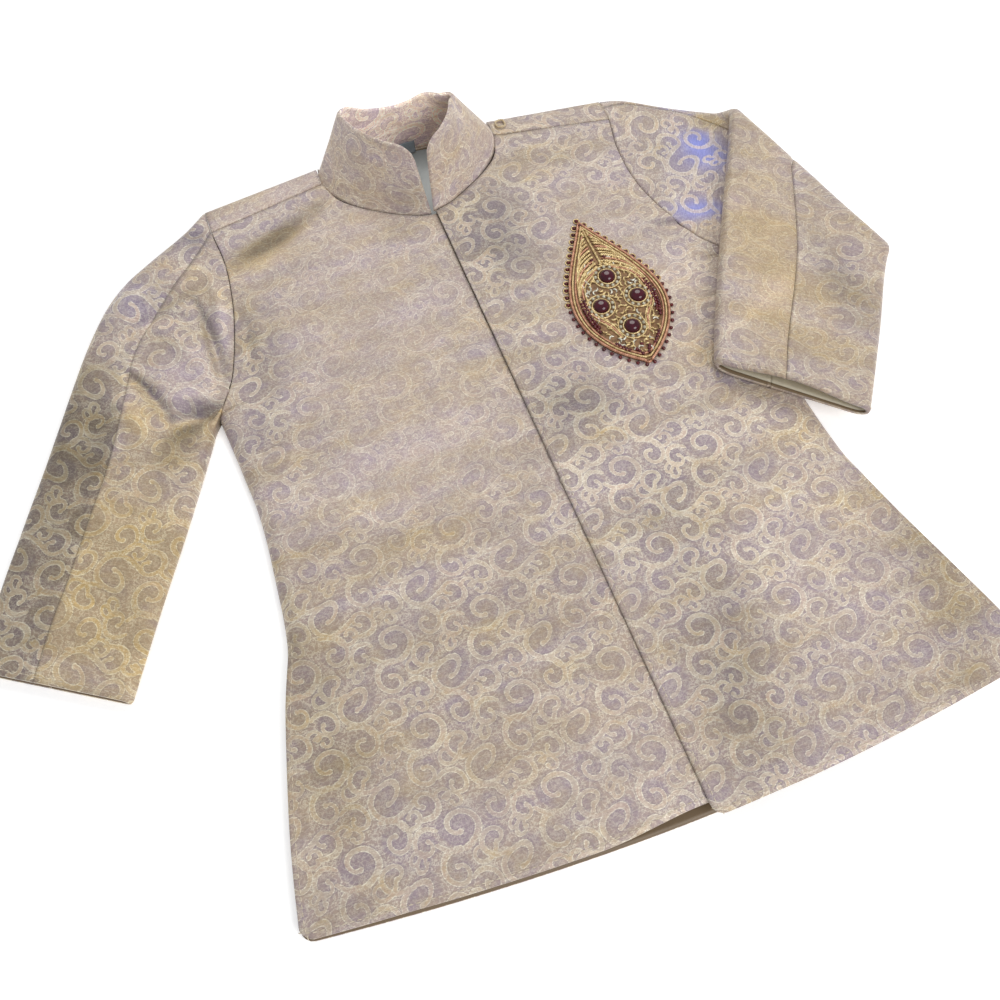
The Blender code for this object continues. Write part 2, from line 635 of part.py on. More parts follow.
# ---- collar ----------------------------------------------------------------------------------
# Stations of the standing collar from its front end round to the centre back: the foot of its outer
# face and its top edge. The foot of the front half is tucked behind the edge of the front.
COLLAR_COLUMNS = ("foot_x", "foot_y", "foot_z", "top_x", "top_y", "top_z")
COLLAR_TABLE = (
    (1.0, 354.6, LAY_HEIGHT, 5.0, 373.5, 43.0),
    (13.8, 358.5, LAY_HEIGHT, 14.0, 378.5, 43.0),
    (27.6, 366.3, LAY_HEIGHT, 22.0, 387.5, 42.0),
    (37.5, 373.9, LAY_HEIGHT, 26.0, 395.0, 40.5),
    (45.6, 382.9, LAY_HEIGHT, 29.5, 403.5, 38.5),
    (49.8, 392.0, LAY_HEIGHT, 32.0, 411.5, 36.0),
    (50.2, 400.5, 8.6, 31.5, 418.0, 34.0),
    (44.5, 405.8, 5.6, 26.0, 420.5, 33.0),
    (33.0, 408.2, 3.4, 18.0, 419.5, 32.5),
    (16.0, 409.3, 3.2, 8.0, 417.5, 32.0),
    (0.0, 409.5, 3.2, 0.0, 417.0, 31.5),
)
COLLAR_TUCK = 0.9
COLLAR_SIDE_SHIFT = {"right": 3.0, "left": -5.0}  # the collar leans a little to one side
COLLAR_SIDE_STATIONS = (5, 7)
COLLAR_COLUMNS_PER_STATION = 3
COLLAR_ROWS = 7
COLLAR_CORNER = 9.0  # radius of the rounded corners at the front


def collar_path(side):
    """Foot and top of half the collar, from its front end to the centre back."""
    sign = -1.0 if side == "right" else 1.0
    table = table_columns(COLLAR_COLUMNS, COLLAR_TABLE, *COLLAR_COLUMNS)
    table[:, [0, 3]] *= sign
    tucked = table[:, 2] == LAY_HEIGHT
    table[tucked, 2] += overlap_rise(table[tucked, 0], side == "left") - COLLAR_TUCK
    first, last = COLLAR_SIDE_STATIONS
    table[first : last + 1, 4] += COLLAR_SIDE_SHIFT[side]
    samples = COLLAR_COLUMNS_PER_STATION * (len(table) - 1)
    return rounded_path(table[:, :3], samples), rounded_path(table[:, 3:], samples)


def make_collar(colour):
    halves = [collar_path(side) for side in ("right", "left")]
    foot, top = (np.vstack([halves[0][part], halves[1][part][-2::-1]]) for part in (0, 1))
    steps = np.concatenate([[0.0], np.cumsum(np.linalg.norm(np.diff(top, axis=0), axis=1))])
    from_end = np.minimum(steps, steps[-1] - steps)
    height = np.linalg.norm(top - foot, axis=1)
    reach = 1 - COLLAR_CORNER / height * (1 - quarter_round(from_end / COLLAR_CORNER))
    rise = np.linspace(0.0, 1.0, COLLAR_ROWS)[:, None, None] * reach[None, :, None]
    outer = foot[None] + (top - foot)[None] * rise
    return wall_between("collar", outer, outer + normals_of(outer) * WALL, colour)


# ---- what shows inside the neck ---------------------------------------------------------------
LINING = 1.0
LINING_CLEARANCE = 0.3
CUFF_LINING_ROWS = 4
NECK_LINING_XY = ("y", "half_width")
NECK_LINING_TABLE = (
    (338.0, 26.0),
    (352.0, 31.0),
    (366.0, 36.0),
    (378.0, 39.0),
    (388.0, 40.5),
    (396.0, 39.0),
    (401.0, 33.0),
    (404.0, 22.0),
    (405.4, 8.0),
)
NECK_LINING_COLUMNS = 9
LABEL_X = (-3.0, 6.5)
LABEL_FOOT_Z = WALL + LINING_CLEARANCE + LINING + 0.5
LABEL_HEIGHT = 6.5
LABEL_LEAN = 0.27  # how far the label leans back for each unit of height, as the collar behind it
LABEL_Y = 405.2


def make_neck_lining(colour):
    low = WALL + LINING_CLEARANCE
    grid = [
        [(x, y, low + LINING) for x in np.linspace(-half_width, half_width, NECK_LINING_COLUMNS)]
        for y, half_width in table_columns(NECK_LINING_XY, NECK_LINING_TABLE, "y", "half_width")
    ]
    outer = np.array(grid)
    return wall_between("neck_lining", outer, outer - (0.0, 0.0, LINING), colour)


def make_label(colour):
    grid = [
        [(x, LABEL_Y + LABEL_LEAN * rise, LABEL_FOOT_Z + rise) for x in np.linspace(*LABEL_X, 4)]
        for rise in np.linspace(0.0, LABEL_HEIGHT, 5)
    ]
    outer = np.array(grid)
    return wall_between("neck_label", outer, outer - (0.0, LINING, 0.0), colour)


# ---- trims on the outside ----------------------------------------------------------------------
LOOP_CENTRE = (58.0, 402.0)
LOOP_HALF = 2.6  # to the middle of its cord
LOOP_CORD = 1.3
BROOCH_CENTRE = (71.5, 268.5)
BROOCH_HALF_LENGTH = 49.0
BROOCH_HALF_WIDTH = 25.5
BROOCH_WIDEST = 0.6  # share of its length, from the top, at which it is widest
BROOCH_FULLNESS = 0.8
BROOCH_EDGE = 1.4  # thickness of the backing at its edge
BROOCH_CROWN = 1.2  # how much thicker it is along the middle
STONE_RADIUS = 4.2
STONE_HEIGHT = 3.2
STONE_PLACES = ((0.0, 8.0), (-10.5, -9.0), (10.5, -9.0), (0.0, -26.0))


def dropped_on(names, plan):
    """Heights of the named pieces' upper faces under plan points, by rays from above."""
    found = np.full(plan.shape[:-1], -1.0)
    for name in names:
        tree = BVHTree.FromObject(bpy.data.objects[name], bpy.context.evaluated_depsgraph_get())
        for index in np.ndindex(found.shape):
            x, y = plan[index]
            hit = tree.ray_cast(((x * MM), (y - ORIGIN_Y) * MM, 1.0), (0.0, 0.0, -1.0))
            if hit[0] is not None:
                found[index] = max(found[index], hit[0].z / MM)
    return found


def make_loop(colour):
    """A small round-cornered loop of cord, lying on the shoulder beside the collar."""
    corners, sides = 20, 8
    turns = np.linspace(0.0, 2 * math.pi, corners, endpoint=False)
    square = np.maximum(np.abs(np.cos(turns)), np.abs(np.sin(turns))) ** 0.5
    middle = np.stack([np.cos(turns), np.sin(turns)], axis=1) * (LOOP_HALF / square)[:, None] + LOOP_CENTRE
    lies_on = dropped_on(["back", "front_left"], middle).max()
    points, faces = [], []
    for place in range(corners):
        outward = np.array([math.cos(turns[place]), math.sin(turns[place])])
        for side in range(sides):
            angle = 2 * math.pi * side / sides
            reach = middle[place] + outward * LOOP_CORD / 2 * math.cos(angle)
            lift = lies_on + SEAM_GAP + LOOP_CORD / 2 * (1 + math.sin(angle))
            points.append((*reach, lift))
            after, beside = (place + 1) % corners, (side + 1) % sides
            corner_ids = (
                place * sides + side,
                after * sides + side,
                after * sides + beside,
                place * sides + beside,
            )
            faces.append(corner_ids)
    return add_object("neck_loop", points, faces, colour)


def brooch_half_width(share):
    """Half width of the pointed oval at a share of its length from the top."""
    power = math.log(0.5) / math.log(BROOCH_WIDEST)
    return BROOCH_HALF_WIDTH * np.sin(math.pi * share**power) ** BROOCH_FULLNESS


def make_brooch_base(colour):
    """The padded backing of the applique, a pointed oval lying on the upper front."""
    rows, columns = 19, 9
    shares = np.linspace(0.012, 0.988, rows)
    across = np.linspace(-1.0, 1.0, columns)
    x = BROOCH_CENTRE[0] + brooch_half_width(shares)[:, None] * across[None]
    y = BROOCH_CENTRE[1] + BROOCH_HALF_LENGTH * (1 - 2 * shares)[:, None] + 0 * x
    plan = np.dstack([x, y])
    under = dropped_on(["front_left"], plan) + SEAM_GAP
    crown = BROOCH_CROWN * (1 - across**2)[None] * np.sin(math.pi * shares)[:, None] ** 0.5
    upper = np.dstack([plan, under + BROOCH_EDGE + crown])
    return wall_between("brooch_base", upper[:, ::-1], np.dstack([plan, under])[:, ::-1], colour)


def make_stone(index, place, colour):
    """A round cabochon: a low dome with a flat back."""
    rings, sides = 5, 20
    centre = np.array(BROOCH_CENTRE) + place
    reach = centre + STONE_RADIUS * np.array([(0, 0), (1, 0), (-1, 0), (0, 1), (0, -1)])
    foot = dropped_on(["brooch_base"], reach).max() + SEAM_GAP
    points, faces = [], []
    for ring in range(rings):
        angle = 0.5 * math.pi * ring / rings
        radius = STONE_RADIUS * math.cos(angle)
        for side in range(sides):
            turn = 2 * math.pi * side / sides
            around = (radius * math.cos(turn), radius * math.sin(turn))
            points.append((*(centre + around), foot + STONE_HEIGHT * math.sin(angle)))
            if ring:
                after = (side + 1) % sides
                low, high = (ring - 1) * sides, ring * sides
                faces.append((low + side, low + after, high + after, high + side))
    faces.append([side for side in range(sides)])
    points.append((*centre, foot + STONE_HEIGHT))
    last = (rings - 1) * sides
    for side in range(sides):
        faces.append((last + side, last + (side + 1) % sides, rings * sides))
    return add_object("brooch_stone_%d" % index, points, faces, colour, roughness=0.15)


# ---- the coat --------------------------------------------------------------------------------
BROCADE = (0.52, 0.45, 0.40)
SATIN = (0.50, 0.55, 0.55)
CUFF_SATIN = (0.66, 0.58, 0.46)
LABEL = (0.33, 0.38, 0.43)
LOOP = (0.62, 0.53, 0.38)
GILT = (0.45, 0.30, 0.14)
RUBY = (0.10, 0.005, 0.02)

for startup_object in list(bpy.data.objects):
    bpy.data.objects.remove(startup_object, do_unlink=True)

make_back(BROCADE)
make_front("right", False, BROCADE)
make_front("left", True, BROCADE)
make_sleeve("right", RIGHT_SLEEVE_TROUGHS, BROCADE)
make_sleeve("left", (), BROCADE)
make_cuff_lining(CUFF_SATIN)
make_collar(BROCADE)
make_neck_lining(SATIN)
make_label(LABEL)
make_loop(LOOP)
make_brooch_base(GILT)
for number, stone_place in enumerate(STONE_PLACES, start=1):
    make_stone(number, stone_place, RUBY)
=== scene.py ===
"""Looks of a toddler's brocade sherwani coat, laid flat on its back with one sleeve folded over the chest."""

import functools
import math
import random

import bmesh
import bpy
import numpy as np
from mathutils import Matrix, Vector, noise
from mathutils.bvhtree import BVHTree


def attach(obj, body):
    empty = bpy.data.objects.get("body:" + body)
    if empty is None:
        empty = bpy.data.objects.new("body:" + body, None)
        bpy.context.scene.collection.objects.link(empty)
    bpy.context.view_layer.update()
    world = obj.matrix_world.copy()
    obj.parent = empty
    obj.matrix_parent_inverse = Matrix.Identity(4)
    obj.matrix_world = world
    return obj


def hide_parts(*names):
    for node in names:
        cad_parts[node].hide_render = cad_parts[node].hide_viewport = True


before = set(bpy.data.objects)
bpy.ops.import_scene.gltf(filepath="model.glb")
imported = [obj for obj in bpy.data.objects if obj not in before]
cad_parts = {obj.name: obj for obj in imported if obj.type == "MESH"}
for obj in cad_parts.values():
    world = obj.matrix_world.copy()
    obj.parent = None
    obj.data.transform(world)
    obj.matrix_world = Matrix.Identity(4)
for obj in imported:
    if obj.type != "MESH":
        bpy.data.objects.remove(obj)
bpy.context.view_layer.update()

# ---- camera, floor and light -----------------------------------------------------------------
# The coat lies on a plain white table and is seen from its foot, a little from the wearer's right.
# One broad lamp stands behind the collar and a weaker one by the hem, in a bright even room.
CAMERA_AIM = Vector((-0.02781, -0.02337, 0.0))
CAMERA_DISTANCE = 0.58332
CAMERA_AZIMUTH, CAMERA_ELEVATION = math.radians(-20.843), math.radians(62.5)
CAMERA_LENS = 42.48
FLOOR_HALF, FLOOR_Z = 3.0, -0.0002
LAMPS = (
    # name, place, size, power, colour
    ("key_lamp", (0.45, 1.25, 1.55), 1.2, 14.6, (1.0, 0.985, 0.96)),
    ("fill_lamp", (0.55, -1.15, 1.1), 1.0, 14.2, (1.0, 0.98, 0.97)),
)
ROOM = (0.95, 0.97, 1.0)
ROOM_STRENGTH = 0.48


def add_object(name, data):
    """An object of the scene, at the origin."""
    made = bpy.data.objects.new(name, data)
    bpy.context.scene.collection.objects.link(made)
    return made


def add_material(name):
    """A node material, with its tree and its Principled shader."""
    made = bpy.data.materials.new(name)
    made.use_nodes = True
    return made, made.node_tree, made.node_tree.nodes["Principled BSDF"]


def feed(socket, value):
    """Sets a socket to a value, or links another socket to it."""
    if isinstance(value, bpy.types.NodeSocket):
        socket.id_data.links.new(value, socket)
    else:
        socket.default_value = value


def set_sockets(node, **values):
    """Feeds a node's input sockets by name, with _ for a space."""
    for name, value in values.items():
        feed(node.inputs[name.replace("_", " ")], value)


seen_from = Vector(
    (
        math.sin(CAMERA_AZIMUTH) * math.cos(CAMERA_ELEVATION),
        -math.cos(CAMERA_AZIMUTH) * math.cos(CAMERA_ELEVATION),
        math.sin(CAMERA_ELEVATION),
    )
)
camera = add_object("camera", bpy.data.cameras.new("camera"))
camera.data.lens = CAMERA_LENS
camera.data.clip_start = 0.01
camera.location = CAMERA_AIM + seen_from * CAMERA_DISTANCE
camera.rotation_mode = "QUATERNION"
camera.rotation_quaternion = (-seen_from).to_track_quat("-Z", "Y")
bpy.context.scene.camera = camera

for lamp_name, place, size, power, colour in LAMPS:
    lamp = add_object(lamp_name, bpy.data.lights.new(lamp_name, "AREA"))
    lamp.data.shape = "DISK"
    lamp.data.size = size
    lamp.data.energy = power
    lamp.data.color = colour
    lamp.location = place
    lamp.rotation_mode = "QUATERNION"
    lamp.rotation_quaternion = (-Vector(place)).to_track_quat("-Z", "Y")

room = bpy.data.worlds.new("room")
room.use_nodes = True
set_sockets(room.node_tree.nodes["Background"], Color=(*ROOM, 1.0), Strength=ROOM_STRENGTH)
bpy.context.scene.world = room
bpy.context.scene.view_settings.view_transform = "Standard"

floor_mesh = bpy.data.meshes.new("floor")
floor_mesh.from_pydata(
    [(x * FLOOR_HALF, y * FLOOR_HALF, FLOOR_Z) for x, y in ((-1, -1), (1, -1), (1, 1), (-1, 1))],
    [],
    [(0, 1, 2, 3)],
)
floor = add_object("floor", floor_mesh)
white_table, _, table_shader = add_material("white_table")
set_sockets(
    table_shader,
    Base_Color=(0.93, 0.93, 0.93, 1.0),
    Roughness=0.8,
    Emission_Color=(1.0, 1.0, 1.0, 1.0),
    Emission_Strength=0.35,
)
floor_mesh.materials.append(white_table)

# ---- the cloth -------------------------------------------------------------------------------
# Shot-silk brocade: a ground of lilac warp and beige weft, with a vine of scrolls woven in champagne
# gold. Its colour also carries painted sheen, highlights and shade. The linings are plain satin, tan in the
# body and cream in the sleeves.
VINE_REPEAT = 40.0  # mm across and up
VINE_SWAY, VINE_SLANT, VINE_RIPPLE = 0.9, 0.6, 0.5  # mm by which it bends out of an even repeat
SCROLLS = (
    # x, y, tip radius, eye radius, turns, tip angle, hand and line width. Each scroll stands twice in
    # a repeat: the second time half a repeat up and across, and mirrored
    (8.0, 10.0, 11.6, 2.6, 1.18, -0.5, 1.0, 0.56),
    (24.0, 13.0, 9.2, 2.2, 1.10, 1.9, -1.0, 0.56),
    (34.0, 5.0, 7.6, 1.9, 1.02, 2.5, 1.0, 0.54),
    (19.5, 1.5, 7.6, 1.9, 1.05, 5.4, -1.0, 0.54),
    (34.0, 17.5, 6.0, 1.5, 0.98, 0.4, 1.0, 0.52),
    (10.5, 19.2, 4.6, 1.3, 0.90, 2.6, -1.0, 0.50),
    (27.8, 2.6, 4.4, 1.3, 0.86, 3.9, 1.0, 0.50),
)
BOWL_SHARE = 0.72  # the share of a scroll's radius within which its ground is more lilac and carries more painted shade
SCROLL_SWELL = 0.075  # how much wider a scroll's line is for each millimetre from its eye
FAR_OFF = 99.0
EDGE_PLACE, EDGE_WIDTH = 1.05, 0.2  # the pale rim of a line, in its half widths from the middle: pale thread with a painted highlight on its raised edge
FOOT_PLACE, FOOT_WIDTH = 1.42, 0.16  # painted shade: the dark line at the foot of a raised line, outside its rim
CLOTH_BRIGHTNESS = 0.49  # where the tint has no lightness of its own
LILAC, BEIGE = (0.385, 0.300, 0.328, 1.0), (0.490, 0.378, 0.282, 1.0)
CHAMPAGNE, OLD_GOLD = (0.610, 0.515, 0.398, 1.0), (0.600, 0.445, 0.225, 1.0)
ROSE_THREAD = (0.600, 0.455, 0.355, 1.0)
PALE_THREAD = (0.800, 0.750, 0.620, 1.0)
# painted sheen: the violet that the shot silk shows where it catches the light
VIOLET_SHEEN = (0.24, 0.27, 0.68, 1.0)
GOLD_CAST = (1.0, 0.94, 0.76, 1.0)  # the golden cast of the silk, partly its own tone and partly painted sheen


def add_node(tree, kind, *values, **settings):
    """A node with its settings, and its first inputs fed in their order."""
    node = tree.nodes.new(kind)
    for name, setting in settings.items():
        setattr(node, name, setting)
    for socket, value in zip(node.inputs, values):
        feed(socket, value)
    return node


def calc(tree, operation, *values):
    """A Math node on sockets or numbers, given back as its output."""
    return add_node(tree, "ShaderNodeMath", *values, operation=operation).outputs[0]


def sums_of(tree, *operations):
    """Functions that each add one kind of Math node to a tree."""
    return [functools.partial(calc, tree, operation) for operation in operations]


def held_in_range(tree, value):
    """The value, or 0 or 1 where it lies beyond them."""
    return calc(tree, "MINIMUM", calc(tree, "MAXIMUM", value, 0.0), 1.0)


def bell(tree, value, middle, width):
    """1 where the value is at the middle, and less the further it lies to either side."""
    away = calc(tree, "DIVIDE", calc(tree, "SUBTRACT", value, middle), width)
    return calc(tree, "EXPONENT", calc(tree, "MULTIPLY", calc(tree, "MULTIPLY", away, away), -1.0))


def blend_colours(tree, share, first, second, mode="MIX"):
    node = add_node(tree, "ShaderNodeMix", share, data_type="RGBA", blend_type=mode)
    feed(node.inputs[6], first)
    feed(node.inputs[7], second)
    return node.outputs[2]


def dimmed(tree, colour, share):
    """A colour times a number that changes over the surface."""
    grey = add_node(tree, "ShaderNodeCombineColor", share, share, share).outputs[0]
    return blend_colours(tree, 1.0, colour, grey, "MULTIPLY")


def far_from(tree, place, point):
    return add_node(tree, "ShaderNodeVectorMath", place, point, operation="DISTANCE").outputs["Value"]


def mapped(tree, place, **values):
    """A place turned and stretched."""
    node = add_node(tree, "ShaderNodeMapping", place)
    set_sockets(node, **values)
    return node.outputs[0]


def noise_of(tree, place, scale, detail=2.0, roughness=0.5):
    node = tree.nodes.new("ShaderNodeTexNoise")
    set_sockets(node, Vector=place, Scale=scale, Detail=detail, Roughness=roughness)
    return node.outputs["Fac"]


def new_group(name, inputs, outputs, kind="ShaderNodeTree"):
    """An empty node group, with the sockets that feed it and that it fills."""
    tree = bpy.data.node_groups.new(name, kind)
    for direction, sockets in (("INPUT", inputs), ("OUTPUT", outputs)):
        for socket_name, socket_kind in sockets:
            tree.interface.new_socket(socket_name, in_out=direction, socket_type="NodeSocket" + socket_kind)
    return tree, tree.nodes.new("NodeGroupInput").outputs, tree.nodes.new("NodeGroupOutput").inputs


def place_group(tree, group, **values):
    node = add_node(tree, "ShaderNodeGroup", node_tree=group)
    set_sockets(node, **values)
    return node.outputs


def build_scroll_group():
    """Distance from one scroll and its repeats, over the half width of its line, and its bowl."""
    numbers = ("X", "Y", "Centre X", "Centre Y", "Tip Radius", "Growth", "Whole Turn", "Tip Angle")
    inputs = [(name, "Float") for name in numbers + ("Hand", "Width", "Eye Size")]
    inputs += [("Eye", "Vector"), ("Tip", "Vector")]
    tree, given, made = new_group("scroll", inputs, [("Distance", "Float"), ("Bowl", "Float")])
    scaled, times, over = sums_of(tree, "MULTIPLY_ADD", "MULTIPLY", "DIVIDE")
    less, least, most = sums_of(tree, "SUBTRACT", "MINIMUM", "MAXIMUM")
    half, turn = VINE_REPEAT / 2, 2 * math.pi

    # the place beside the nearest repeat of the scroll, turned to that one's hand
    y = less(given["Y"], given["Centre Y"])
    odd = calc(tree, "FLOORED_MODULO", calc(tree, "ROUND", over(y, half)), 2.0)
    y = calc(tree, "WRAP", y, half / 2, -half / 2)
    x = less(given["X"], given["Centre X"])
    x = calc(tree, "WRAP", scaled(odd, -half, x), half, -half)
    x = times(x, times(scaled(odd, -2.0, 1.0), given["Hand"]))
    place = add_node(tree, "ShaderNodeCombineXYZ", x, y).outputs[0]
    radius = most(far_from(tree, place, (0.0, 0.0, 0.0)), 0.001)
    angle = calc(tree, "ARCTAN2", y, x)

    # the nearest turn of the spiral, and how far the place is from its line
    back = calc(tree, "FLOORED_MODULO", less(given["Tip Angle"], angle), turn)
    shrunk = calc(tree, "LOGARITHM", over(given["Tip Radius"], radius), math.e)
    wanted = over(shrunk, given["Growth"])
    whole = calc(tree, "ROUND", over(less(wanted, back), turn))
    last = calc(tree, "FLOOR", over(less(given["Whole Turn"], back), turn))
    whole = most(least(whole, last), 0.0)
    run = scaled(whole, turn, back)
    shrink = calc(tree, "EXPONENT", times(times(run, given["Growth"]), -1.0))
    line = times(given["Tip Radius"], shrink)
    beside = calc(tree, "ABSOLUTE", less(radius, line))
    taper = least(scaled(run, 0.83, 0.35), 1.0)
    swell = times(times(line, SCROLL_SWELL), taper)
    found = over(beside, calc(tree, "ADD", given["Width"], swell))
    found = scaled(calc(tree, "LESS_THAN", last, -0.5), FAR_OFF, found)

    # the round ends of the line, and the bowl of ground that it goes round
    eye = over(far_from(tree, place, given["Eye"]), given["Eye Size"])
    tip = over(far_from(tree, place, given["Tip"]), times(given["Width"], 0.7))
    feed(made["Distance"], least(found, least(eye, tip)))
    within = less(times(given["Tip Radius"], BOWL_SHARE), radius)
    feed(made["Bowl"], held_in_range(tree, times(within, 0.8)))
    return tree


def build_vine_group():
    """The woven vine: how far a place is from its lines, with 1 at a line's edge, and the bowls in it."""
    scroll = build_scroll_group()
    outputs = [("Distance", "Float"), ("Bowl", "Float")]
    tree, given, made = new_group("scroll_vine", [("Place", "Vector")], outputs)
    scaled, times = sums_of(tree, "MULTIPLY_ADD", "MULTIPLY")
    x, y, _ = add_node(tree, "ShaderNodeSeparateXYZ", given["Place"]).outputs
    unit = 2 * math.pi / VINE_REPEAT
    slant = calc(tree, "SINE", times(calc(tree, "ADD", x, y), unit))
    sway = calc(tree, "SINE", scaled(y, unit, 0.6))
    heave = calc(tree, "SINE", scaled(x, unit, 1.9))
    ripple = calc(tree, "SINE", times(x, 2 * unit))
    bent_x = scaled(sway, VINE_SWAY, scaled(slant, VINE_SLANT, x))
    bent_y = scaled(heave, VINE_SWAY, scaled(ripple, VINE_RIPPLE, y))
    nearest, bowl = FAR_OFF, 0.0
    for centre_x, centre_y, tip_radius, eye_radius, turns, tip_angle, hand, width in SCROLLS:
        whole_turn = turns * 2 * math.pi
        eye_angle = tip_angle - whole_turn
        found = place_group(
            tree,
            scroll,
            X=bent_x,
            Y=bent_y,
            Centre_X=centre_x,
            Centre_Y=centre_y,
            Tip_Radius=tip_radius,
            Growth=math.log(tip_radius / eye_radius) / whole_turn,
            Whole_Turn=whole_turn,
            Tip_Angle=tip_angle,
            Hand=hand,
            Width=width,
            Eye_Size=1.35 * width + 0.25,
            Eye=(eye_radius * math.cos(eye_angle), eye_radius * math.sin(eye_angle), 0.0),
            Tip=(tip_radius * math.cos(tip_angle), tip_radius * math.sin(tip_angle), 0.0),
        )
        nearest = calc(tree, "MINIMUM", nearest, found["Distance"])
        bowl = calc(tree, "MAXIMUM", bowl, found["Bowl"])
    feed(made["Distance"], nearest)
    feed(made["Bowl"], bowl)
    return tree


def build_brocade_group():
    """Colour and relief of the brocade, from a place on the cloth and its tint."""
    # the colour carries painted light: sheen stripes, violet and golden sheen, highlights on the raised rims,
    # and shade in the pits, the low ground and at the foot of the lines
    vine = build_vine_group()
    inputs = [("Place", "Vector"), ("Tint", "Color"), ("Violet", "Float"), ("Scroll Size", "Float")]
    outputs = [("Color", "Color"), ("Height", "Float"), ("Metal", "Float"), ("Roughness", "Float")]
    tree, given, made = new_group("brocade_weave", inputs, outputs)
    scaled, times, plus = sums_of(tree, "MULTIPLY_ADD", "MULTIPLY", "ADD")
    less, least = sums_of(tree, "SUBTRACT", "MINIMUM")
    held = functools.partial(held_in_range, tree)
    gold, light, contrast = add_node(tree, "ShaderNodeSeparateColor", given["Tint"]).outputs
    place = given["Place"]
    sized = add_node(tree, "ShaderNodeVectorMath", place, operation="SCALE")
    set_sockets(sized, Scale=given["Scroll Size"])
    found = place_group(tree, vine, Place=sized.outputs[0])
    distance, bowl = found["Distance"], found["Bowl"]

    # the unevenness of the yarn, the weave and the dye, painted sheen in slanted stripes, and how far some of
    # it swings about 0
    stretched = mapped(tree, place, Scale=(0.4, 1.6, 1.0))
    slub = noise_of(tree, stretched, 0.9, 3.0, 0.65)
    crinkle = noise_of(tree, stretched, 0.11, 3.0, 0.6)
    grain = noise_of(tree, place, 1.3, 3.0, 0.7)
    lint = noise_of(tree, place, 0.42, 3.0, 0.6)
    drift = noise_of(tree, place, 0.045)
    patch = noise_of(tree, place, 0.075, 3.0, 0.6)
    across = mapped(tree, place, Rotation=(0.0, 0.0, 0.1), Scale=(0.009, 0.05, 1.0))
    sheen_bands = less(noise_of(tree, across, 1.0, 3.0, 0.6), 0.5)
    elsewhere = add_node(tree, "ShaderNodeVectorMath", place, (310.0, 90.0, 0.0), operation="ADD")
    blush = noise_of(tree, elsewhere.outputs[0], 0.06, 3.0, 0.55)
    slub_swing, grain_swing = less(slub, 0.5), less(grain, 0.5)

    # the scroll, its broken edge, and the bowl of ground inside it
    ragged = scaled(grain_swing, 2.0, distance)
    scroll = held(times(less(1.25, ragged), 2.6))
    wavering = scaled(grain_swing, 0.8, distance)
    edge = times(bell(tree, wavering, EDGE_PLACE, EDGE_WIDTH), held(scaled(slub_swing, 5.0, 0.55)))
    patchy = times(contrast, scaled(drift, 1.6, 0.2))
    shown = scaled(patchy, 1.1, 0.08)
    bowl = times(bowl, least(times(patchy, 2.0), 1.0))
    cover = least(times(scroll, times(shown, 0.85)), 1.0)

    # the ground, cool or warm, and darkened by painted shade where it lies low between the raised scrolls
    warmth = scaled(less(patch, 0.5), 2.8, gold)
    warmth = scaled(slub_swing, 0.5, warmth)
    warmth = scaled(sheen_bands, 2.6, warmth)
    cool = calc(tree, "MAXIMUM", less(1.3, warmth), 0.0)
    open_ground = held(times(scaled(bowl, 0.3, 0.55), cool))
    ground = blend_colours(tree, open_ground, BEIGE, LILAC)
    sunk = times(patchy, scaled(bowl, 0.5, 0.5))
    ground = dimmed(tree, ground, scaled(sunk, -0.26, 1.04))

    # the gold thread of the scrolls, rosy or old gold in places, with its pale rim, partly a painted
    # highlight on the raised edge
    rosy = scaled(less(blush, 0.5), 4.0, 0.4)
    thread = blend_colours(tree, held(rosy), CHAMPAGNE, ROSE_THREAD)
    golden = scaled(less(warmth, 0.5), 0.8, 0.04)
    thread = blend_colours(tree, held(golden), thread, OLD_GOLD)
    colour = blend_colours(tree, cover, ground, thread)
    rim = least(times(edge, scaled(shown, 0.7, 0.5)), 1.0)
    colour = blend_colours(tree, rim, colour, PALE_THREAD)

    # short bright fibres that lie curled over the thread
    curled = calc(tree, "ABSOLUTE", less(lint, 0.5))
    fibres = held(scaled(curled, -20.0, 1.0))
    fibres = times(fibres, scaled(bowl, -0.35, 0.72))
    fibres = times(fibres, least(scaled(shown, 0.6, 0.5), 1.0))
    colour = blend_colours(tree, fibres, colour, PALE_THREAD)

    # painted sheen: violet where the tint asks for it, kept off the scroll lines, and a golden cast where the
    # tint's gold and the sheen stripes are high
    sheen = times(given["Violet"], scaled(scroll, -0.65, 1.0))
    colour = blend_colours(tree, sheen, colour, VIOLET_SHEEN)
    cast = held(scaled(plus(gold, sheen_bands), 1.5, -0.66))
    colour = blend_colours(tree, cast, colour, blend_colours(tree, 1.0, colour, GOLD_CAST, "MULTIPLY"))

    # painted light and shade: the yarn's slubs, painted shade in the pits between the threads and at the foot
    # of each raised edge, and slow clouds of lightness from the tint, partly painted light, and from the
    # sheen stripes
    pit = held(times(less(0.44, grain), 5.0))
    slub_and_shade = scaled(pit, -0.3, scaled(slub_swing, 0.7, 1.0))
    slub_and_shade = scaled(bell(tree, wavering, FOOT_PLACE, FOOT_WIDTH), -0.13, slub_and_shade)
    cloud = scaled(less(drift, 0.5), 0.4, light)
    cloud = scaled(sheen_bands, -0.42, cloud)
    brightness = times(slub_and_shade, plus(cloud, CLOTH_BRIGHTNESS))

    feed(made["Color"], dimmed(tree, colour, brightness))
    feed(made["Height"], scaled(crinkle, 4.5, times(slub, 0.8)))
    feed(made["Metal"], times(cover, 0.25))
    feed(made["Roughness"], scaled(cover, -0.08, 0.52))
    return tree


brocade_weave = build_brocade_group()


def relief_of(tree, height, strength, distance):
    """The normal of a surface with a fine relief."""
    bump = tree.nodes.new("ShaderNodeBump")
    set_sockets(bump, Strength=strength, Distance=distance, Height=height)
    return bump.outputs["Normal"]


